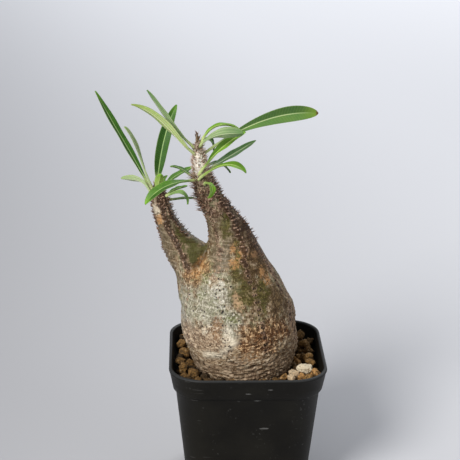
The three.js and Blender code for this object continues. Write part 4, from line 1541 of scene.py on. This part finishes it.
spine_horn = make_spine_finish()
spine_piece = add_piece(
    "caudex_spines", *joined(spines.bodies), spine_horn, "caudex",
    marks={"young": spines.young, "reach": spines.reach},
)
print("spine triangles:", triangles(spine_piece))

# %% [markdown]
# ## Leaves
#
# The leaves are narrow straps that crown each stem. Each has a short pale stalk, a pale midrib that
# is a groove above and a ridge below, halves that rise like an open book, and a tip that is
# rounded and often yellow. A plane bent by a curve modifier would do for one leaf. With 23 of them,
# all different, a loop that lofts each along its own midrib is shorter. For each leaf it needs the
# foot, as height and angle on the stem, a width and where it is widest, a roll in degrees, a tone,
# how strong the painted shade on one half is, with its sign picking the half, and three more
# points of a Bezier curve.

# %% Table of leaves
LEAF_STEPS = 64
LEAF_ACROSS = 13
STALK_HALF = 0.85
STALK_SHARE = 0.1
TIP_HALF = 0.35
TIP_FULLNESS = 0.6
ROLL_SHARE = 0.6
FOLD = 0.3
LEAF_FIELDS = "foot width widest roll tone dark reach"
LIMB_LEAVES = table(LEAF_FIELDS, [
    ((173, 160), 5.4, 0.55, 10, "deep", -0.5, [(-64, 21.5, 189), (-76.5, 30, 206), (-87, 34, 226)]),
    ((175, 215), 4.0, 0.7, -60, "mist", 0, [(-58.5, 0, 188.5), (-62, -2.5, 206), (-69, -2, 214.5)]),
    ((171.5, 190), 4.8, 0.68, 44, "mist", 0, [(-57, 6, 182), (-63, 9, 181), (-72, 12, 180.5)]),
    ((174.5, 110), 7.2, 0.5, 3, "deep", -0.9, [(-50.5, 23.5, 186.5), (-48.5, 32.5, 202), (-40.5, 36, 217.5)]),
    ((174, 265), 5, 0.6, -7, "fresh", 0, [(-51, -1.5, 179.5), (-50.5, -4.5, 184), (-49, -8, 189)]),
    ((174, 35), 5, 0.6, -14, "mid", 0.6, [(-46, 16.5, 179.5), (-37.5, 22.5, 180.5), (-30, 26, 183.5)]),
    ((172, 330), 3.8, 0.6, -62, "mid", 0, [(-41, 0.5, 177), (-34, -2, 178), (-34, -6, 170.5)]),
    ((171.5, 5), 4, 0.6, -7, "mid", 0, [(-43.5, 8, 176), (-38.5, 9.5, 175), (-34.5, 11, 176.5)]),
    ((168.5, 25), 3, 0.6, -7, "deep", 0, [(-39, 12.5, 169), (-33.5, 16.5, 167.5), (-28, 20, 166)]),
    ((174, 72), 4, 0.6, -25, "mid", 0, [(-48.5, 14.5, 176), (-48.5, 18, 178.5), (-46, 21, 179.5)]),
])
TRUNK_LEAVES = table(LEAF_FIELDS, [
    ((203, 195), 3.8, 0.6, 24, "grey", 0, [(-40, -9.5, 213.5), (-48, -13, 225.5), (-56, -14, 238)]),
    ((199.5, 218), 4.8, 0.42, 45, "lime", 0.5, [(-41.5, -12, 210.5), (-49, -17, 227.5), (-64.5, -20, 231.5)]),
    ((185, 170), 4, 0.6, 10, "deep", 0, [(-35, 0.5, 188), (-39, 2, 190.5), (-44, 4, 190)]),
    ((184.5, 212), 6.6, 0.6, -19, "mid", -0.8, [(-38, -16.5, 188), (-50.5, -24.5, 188), (-57.5, -26, 177)]),
    ((206, 345), 4.6, 0.6, -16, "fresh", 0, [(-23.5, -2, 215.5), (-14, -0.5, 218), (-5, 2, 212)]),
    ((204.5, 300), 6.8, 0.7, -54, "grey", 0, [(-23.5, -11.5, 212.5), (-13.5, -17, 215.5), (-4, -20, 215.5)]),
    ((199, 20), 9, 0.74, 64, "elder", -0.75, [(-6.5, 14, 209), (16.5, 24.5, 217.5), (41, 30, 214)]),
    ((189, 255), 6.4, 0.6, 59, "fresh", -0.9, [(-22, -11, 200), (-12.5, -6, 207), (-2, 2, 210.5)]),
    ((189.5, 25), 4.8, 0.45, 19, "grey", 0, [(-14, 10, 192), (-5, 19, 194.5), (5, 26, 199)]),
    ((185.5, 242), 5.6, 0.82, 53, "fresh", -0.5, [
        (-23.5, -17, 194.5), (-10.5, -18.5, 202.5), (-2, -16, 192),
    ]),
    ((183, 268), 4.8, 0.65, -21, "fresh", 0, [(-24, -17, 189), (-17.5, -22.5, 186), (-23, -20, 178.5)]),
    ((204.5, 45), 4, 0.6, 46, "deep", 0, [(-23, 4, 208.5), (-18.5, 6, 204), (-19.5, 8, 198)]),
    ((191, 50), 4, 0.6, 25, "deep", 0, [(-20, 9, 191), (-14, 16, 190), (-9.5, 18, 182)]),
])

# %% [markdown]
# The green differs from leaf to leaf, with age and with the side that faces us, so each tone is
# one set of colours for the same finish. The mesh tells the finish how far along the leaf a point
# is, how far from the midrib, and whether it lies on the upper or the lower face.

# %% Leaf finish
TONE_FIELDS = "name upper lower rib tip scorch"
TONES = table(TONE_FIELDS, [
    ("deep", (0.026, 0.098, 0.009), (0.13, 0.25, 0.07), (0.36, 0.52, 0.19), (0.12, 0.28, 0.02), 0.0),
    ("elder", (0.108, 0.228, 0.058), (0.13, 0.25, 0.07), (0.55, 0.66, 0.33), (0.2, 0.32, 0.03), 0.9),
    ("mid", (0.06, 0.165, 0.02), (0.19, 0.33, 0.1), (0.34, 0.48, 0.17), (0.22, 0.46, 0.03), 0.0),
    ("fresh", (0.155, 0.325, 0.02), (0.34, 0.5, 0.1), (0.5, 0.64, 0.2), (0.19, 0.44, 0.02), 0.0),
    ("grey", (0.08, 0.18, 0.055), (0.25, 0.36, 0.16), (0.5, 0.6, 0.34), (0.09, 0.2, 0.05), 0.0),
    ("mist", (0.3, 0.4, 0.18), (0.34, 0.44, 0.22), (0.62, 0.7, 0.45), (0.3, 0.44, 0.14), 0.0),
    ("lime", (0.26, 0.4, 0.05), (0.42, 0.54, 0.18), (0.74, 0.78, 0.48), (0.2, 0.26, 0.05), 0.0),
])
LEAF_SHADE = (0.016, 0.062, 0.006)
SCORCH = (0.16, 0.065, 0.02)
STALK_COLOUR = (0.52, 0.60, 0.26)
EDGE_COLOUR = (0.36, 0.48, 0.16)
VEINS_ALONG = 42
VEIN_SLANT = 7.0


def make_leaf_finish(tone):
    finish = Finish("leaf_" + tone["name"], Roughness=0.5, Specular_IOR_Level=0.22, Subsurface_Weight=0.12)
    finish.surface.inputs["Subsurface Radius"].default_value = (0.6 * MM, 1.2 * MM, 0.3 * MM)
    where = place(finish)
    along = mark(finish, "along")
    across = mark(finish, "across")
    from_rib = mark(finish, "from_rib")
    face = mark(finish, "face")
    mottle = cloud(where, 3.5, 3.0)
    vein = step(sine(along * (2 * math.pi * VEINS_ALONG) - across * VEIN_SLANT), 0.55, 0.98)
    blade = blend(step(mottle, 0.3, 0.7) * 0.2, tone["upper"], tone["tip"])
    # painted shade: one half of the blade is darkened, and on the lower face it takes the upper colour
    blade = blend(mark(finish, "shade") * 0.7, blade, LEAF_SHADE)
    blade = blend(vein * 0.06, blade, tone["rib"])
    ripple = sine(across * 15 + along * 3)
    under = blend(step(ripple, -0.4, 0.9) * 0.45, tone["lower"], tone["rib"])
    under = blend(step(along, 0.45, 0.9) * 0.6, under, tone["upper"])
    under = blend(mark(finish, "shade") * 0.5, under, tone["upper"])
    blade = blend(face, under, blade)
    blade = blend(step(along, 0.84, 0.99) * 0.7, blade, tone["tip"])
    blade = blend(step(across, 0.90, 1.0) * 0.5, blade, EDGE_COLOUR)
    blade = blend(step(from_rib, 0.36, 0.12) * step(along, 1.0, 0.72) * 0.9, blade, tone["rib"])
    blade = blend(step(along + mottle * 0.02, 0.985, 1.0) * tone["scorch"], blade, SCORCH)
    finish.feed("Base Color", blend(step(along, 0.22, 0.05), blade, STALK_COLOUR))
    finish.feed("Roughness", 0.42 + mottle * 0.16)
    finish.feed("Normal", relief(mottle * 0.5 - vein * 0.25, 0.18, 0.5))
    return finish


leaf_finishes = {tone["name"]: make_leaf_finish(tone) for tone in TONES}
print("leaf finishes:", list(leaf_finishes))

# %% [markdown]
# A leaf isn't flat: it folds up at the midrib, waves a little, thins out towards its edge and turns
# about its own length. A formula gives each section across it, and the sections are laid along the
# curve. The thickness is real, so that a leaf has two faces and no open edge.

# %% Shape of a leaf
BLADE_THICKNESS = 0.5
EDGE_THICKNESS = 0.22
RIB_DEPTH = 0.55
RIB_WIDTH = 0.5
FOOT_SINK = 1.4
WAVES = 3.0
WAVE_HEIGHT = 0.07
SHADE_EDGE = 0.12


def blade_half(leaf, share):
    """Half-width of a blade in millimetres at a share of its length from the foot."""
    widest = leaf["widest"]
    past = max(0, (share - STALK_SHARE) / (1 - STALK_SHARE))
    taper = TIP_FULLNESS * widest / (1 - widest)
    swell = (past / widest) ** taper * ((1 - past) / (1 - widest)) ** TIP_FULLNESS
    narrow = STALK_HALF + (TIP_HALF - STALK_HALF) * float(ease(0.5, 1, share))
    return max(narrow, leaf["width"] / 2 * swell)


def bezier(knots, share):
    """Place and direction on a cubic Bezier curve."""
    a, b, c, d = knots
    rest = 1 - share
    point = a * rest ** 3 + 3 * b * rest ** 2 * share + 3 * c * rest * share ** 2 + d * share ** 3
    ahead = 3 * (b - a) * rest ** 2 + 6 * (c - b) * rest * share + 3 * (d - c) * share ** 2
    return point, unit(ahead)


def leaf_section(half, share, phase):
    """Upper and lower height of a blade across its width."""
    across = np.linspace(-1, 1, LEAF_ACROSS)
    blade = float(ease(0.06, 0.26, share))
    wave = WAVE_HEIGHT * np.sin(2 * math.pi * WAVES * share + phase)
    upper = half * blade * (FOLD * np.abs(across) ** 1.25 + wave * across * np.abs(across))
    plump = 1 - across ** 2
    thickness = EDGE_THICKNESS + (BLADE_THICKNESS - EDGE_THICKNESS) * plump
    thickness += RIB_DEPTH * (1 - 0.7 * share) * np.exp(-((across * half / RIB_WIDTH) ** 2))
    stalk = 2 * STALK_HALF * np.sqrt(np.clip(plump, 0.03, 1))
    top = upper + (1 - blade) * stalk / 2
    return across, top, top - (thickness * blade + stalk * (1 - blade))


def leaf_mesh(leaf, levels, phase):
    height, heading = leaf["foot"]
    foot = skin(levels, np.array([math.radians(heading)]), np.array([float(height)]))[0]
    knots = [foot] + [np.array(point, dtype=float) for point in leaf["reach"]]
    rings, marks = [], {"along": [], "across": [], "from_rib": [], "face": [], "shade": []}
    facing = UP
    for share in np.linspace(0, 1, LEAF_STEPS + 1):
        middle, ahead = bezier(knots, share)
        facing = unit(facing - ahead * (facing @ ahead))
        roll = math.radians(leaf["roll"]) * float(ease(0, ROLL_SHARE, share))
        up = facing * math.cos(roll) + np.cross(ahead, facing) * math.sin(roll)
        side = np.cross(ahead, up)
        half = blade_half(leaf, share)
        across, upper, lower = leaf_section(half, share, phase)
        if not rings:
            middle = middle - ahead * FOOT_SINK
        around_edge = np.concatenate([across, across[::-1]])
        lifts = np.concatenate([upper, lower[::-1]])
        rings.append((middle + np.outer(around_edge * half, side) + np.outer(lifts, up)) * MM)
        marks["along"] += [share] * len(around_edge)
        marks["across"] += np.abs(around_edge).tolist()
        marks["from_rib"] += (np.abs(around_edge) * half).tolist()
        marks["face"] += [1.0] * LEAF_ACROSS + [0.0] * LEAF_ACROSS
        # painted shade for one half of the blade
        shaded = ease(0, SHADE_EDGE, around_edge * leaf["dark"]) * abs(leaf["dark"])
        marks["shade"] += shaded.tolist()
    return *loft(rings), marks


def make_leaves(prefix, table, levels):
    for index, leaf in enumerate(table):
        name = f"{prefix}_{index + 1}"
        points, faces, marks = leaf_mesh(leaf, levels, 1.7 * index)
        add_piece(name + "_blade", points, faces, leaf_finishes[leaf["tone"]], "leaf", [name], marks)


make_leaves("leaf_left", LIMB_LEAVES, LIMB)
make_leaves("leaf_right", TRUNK_LEAVES, TRUNK)
print("leaves:", len(LIMB_LEAVES) + len(TRUNK_LEAVES))
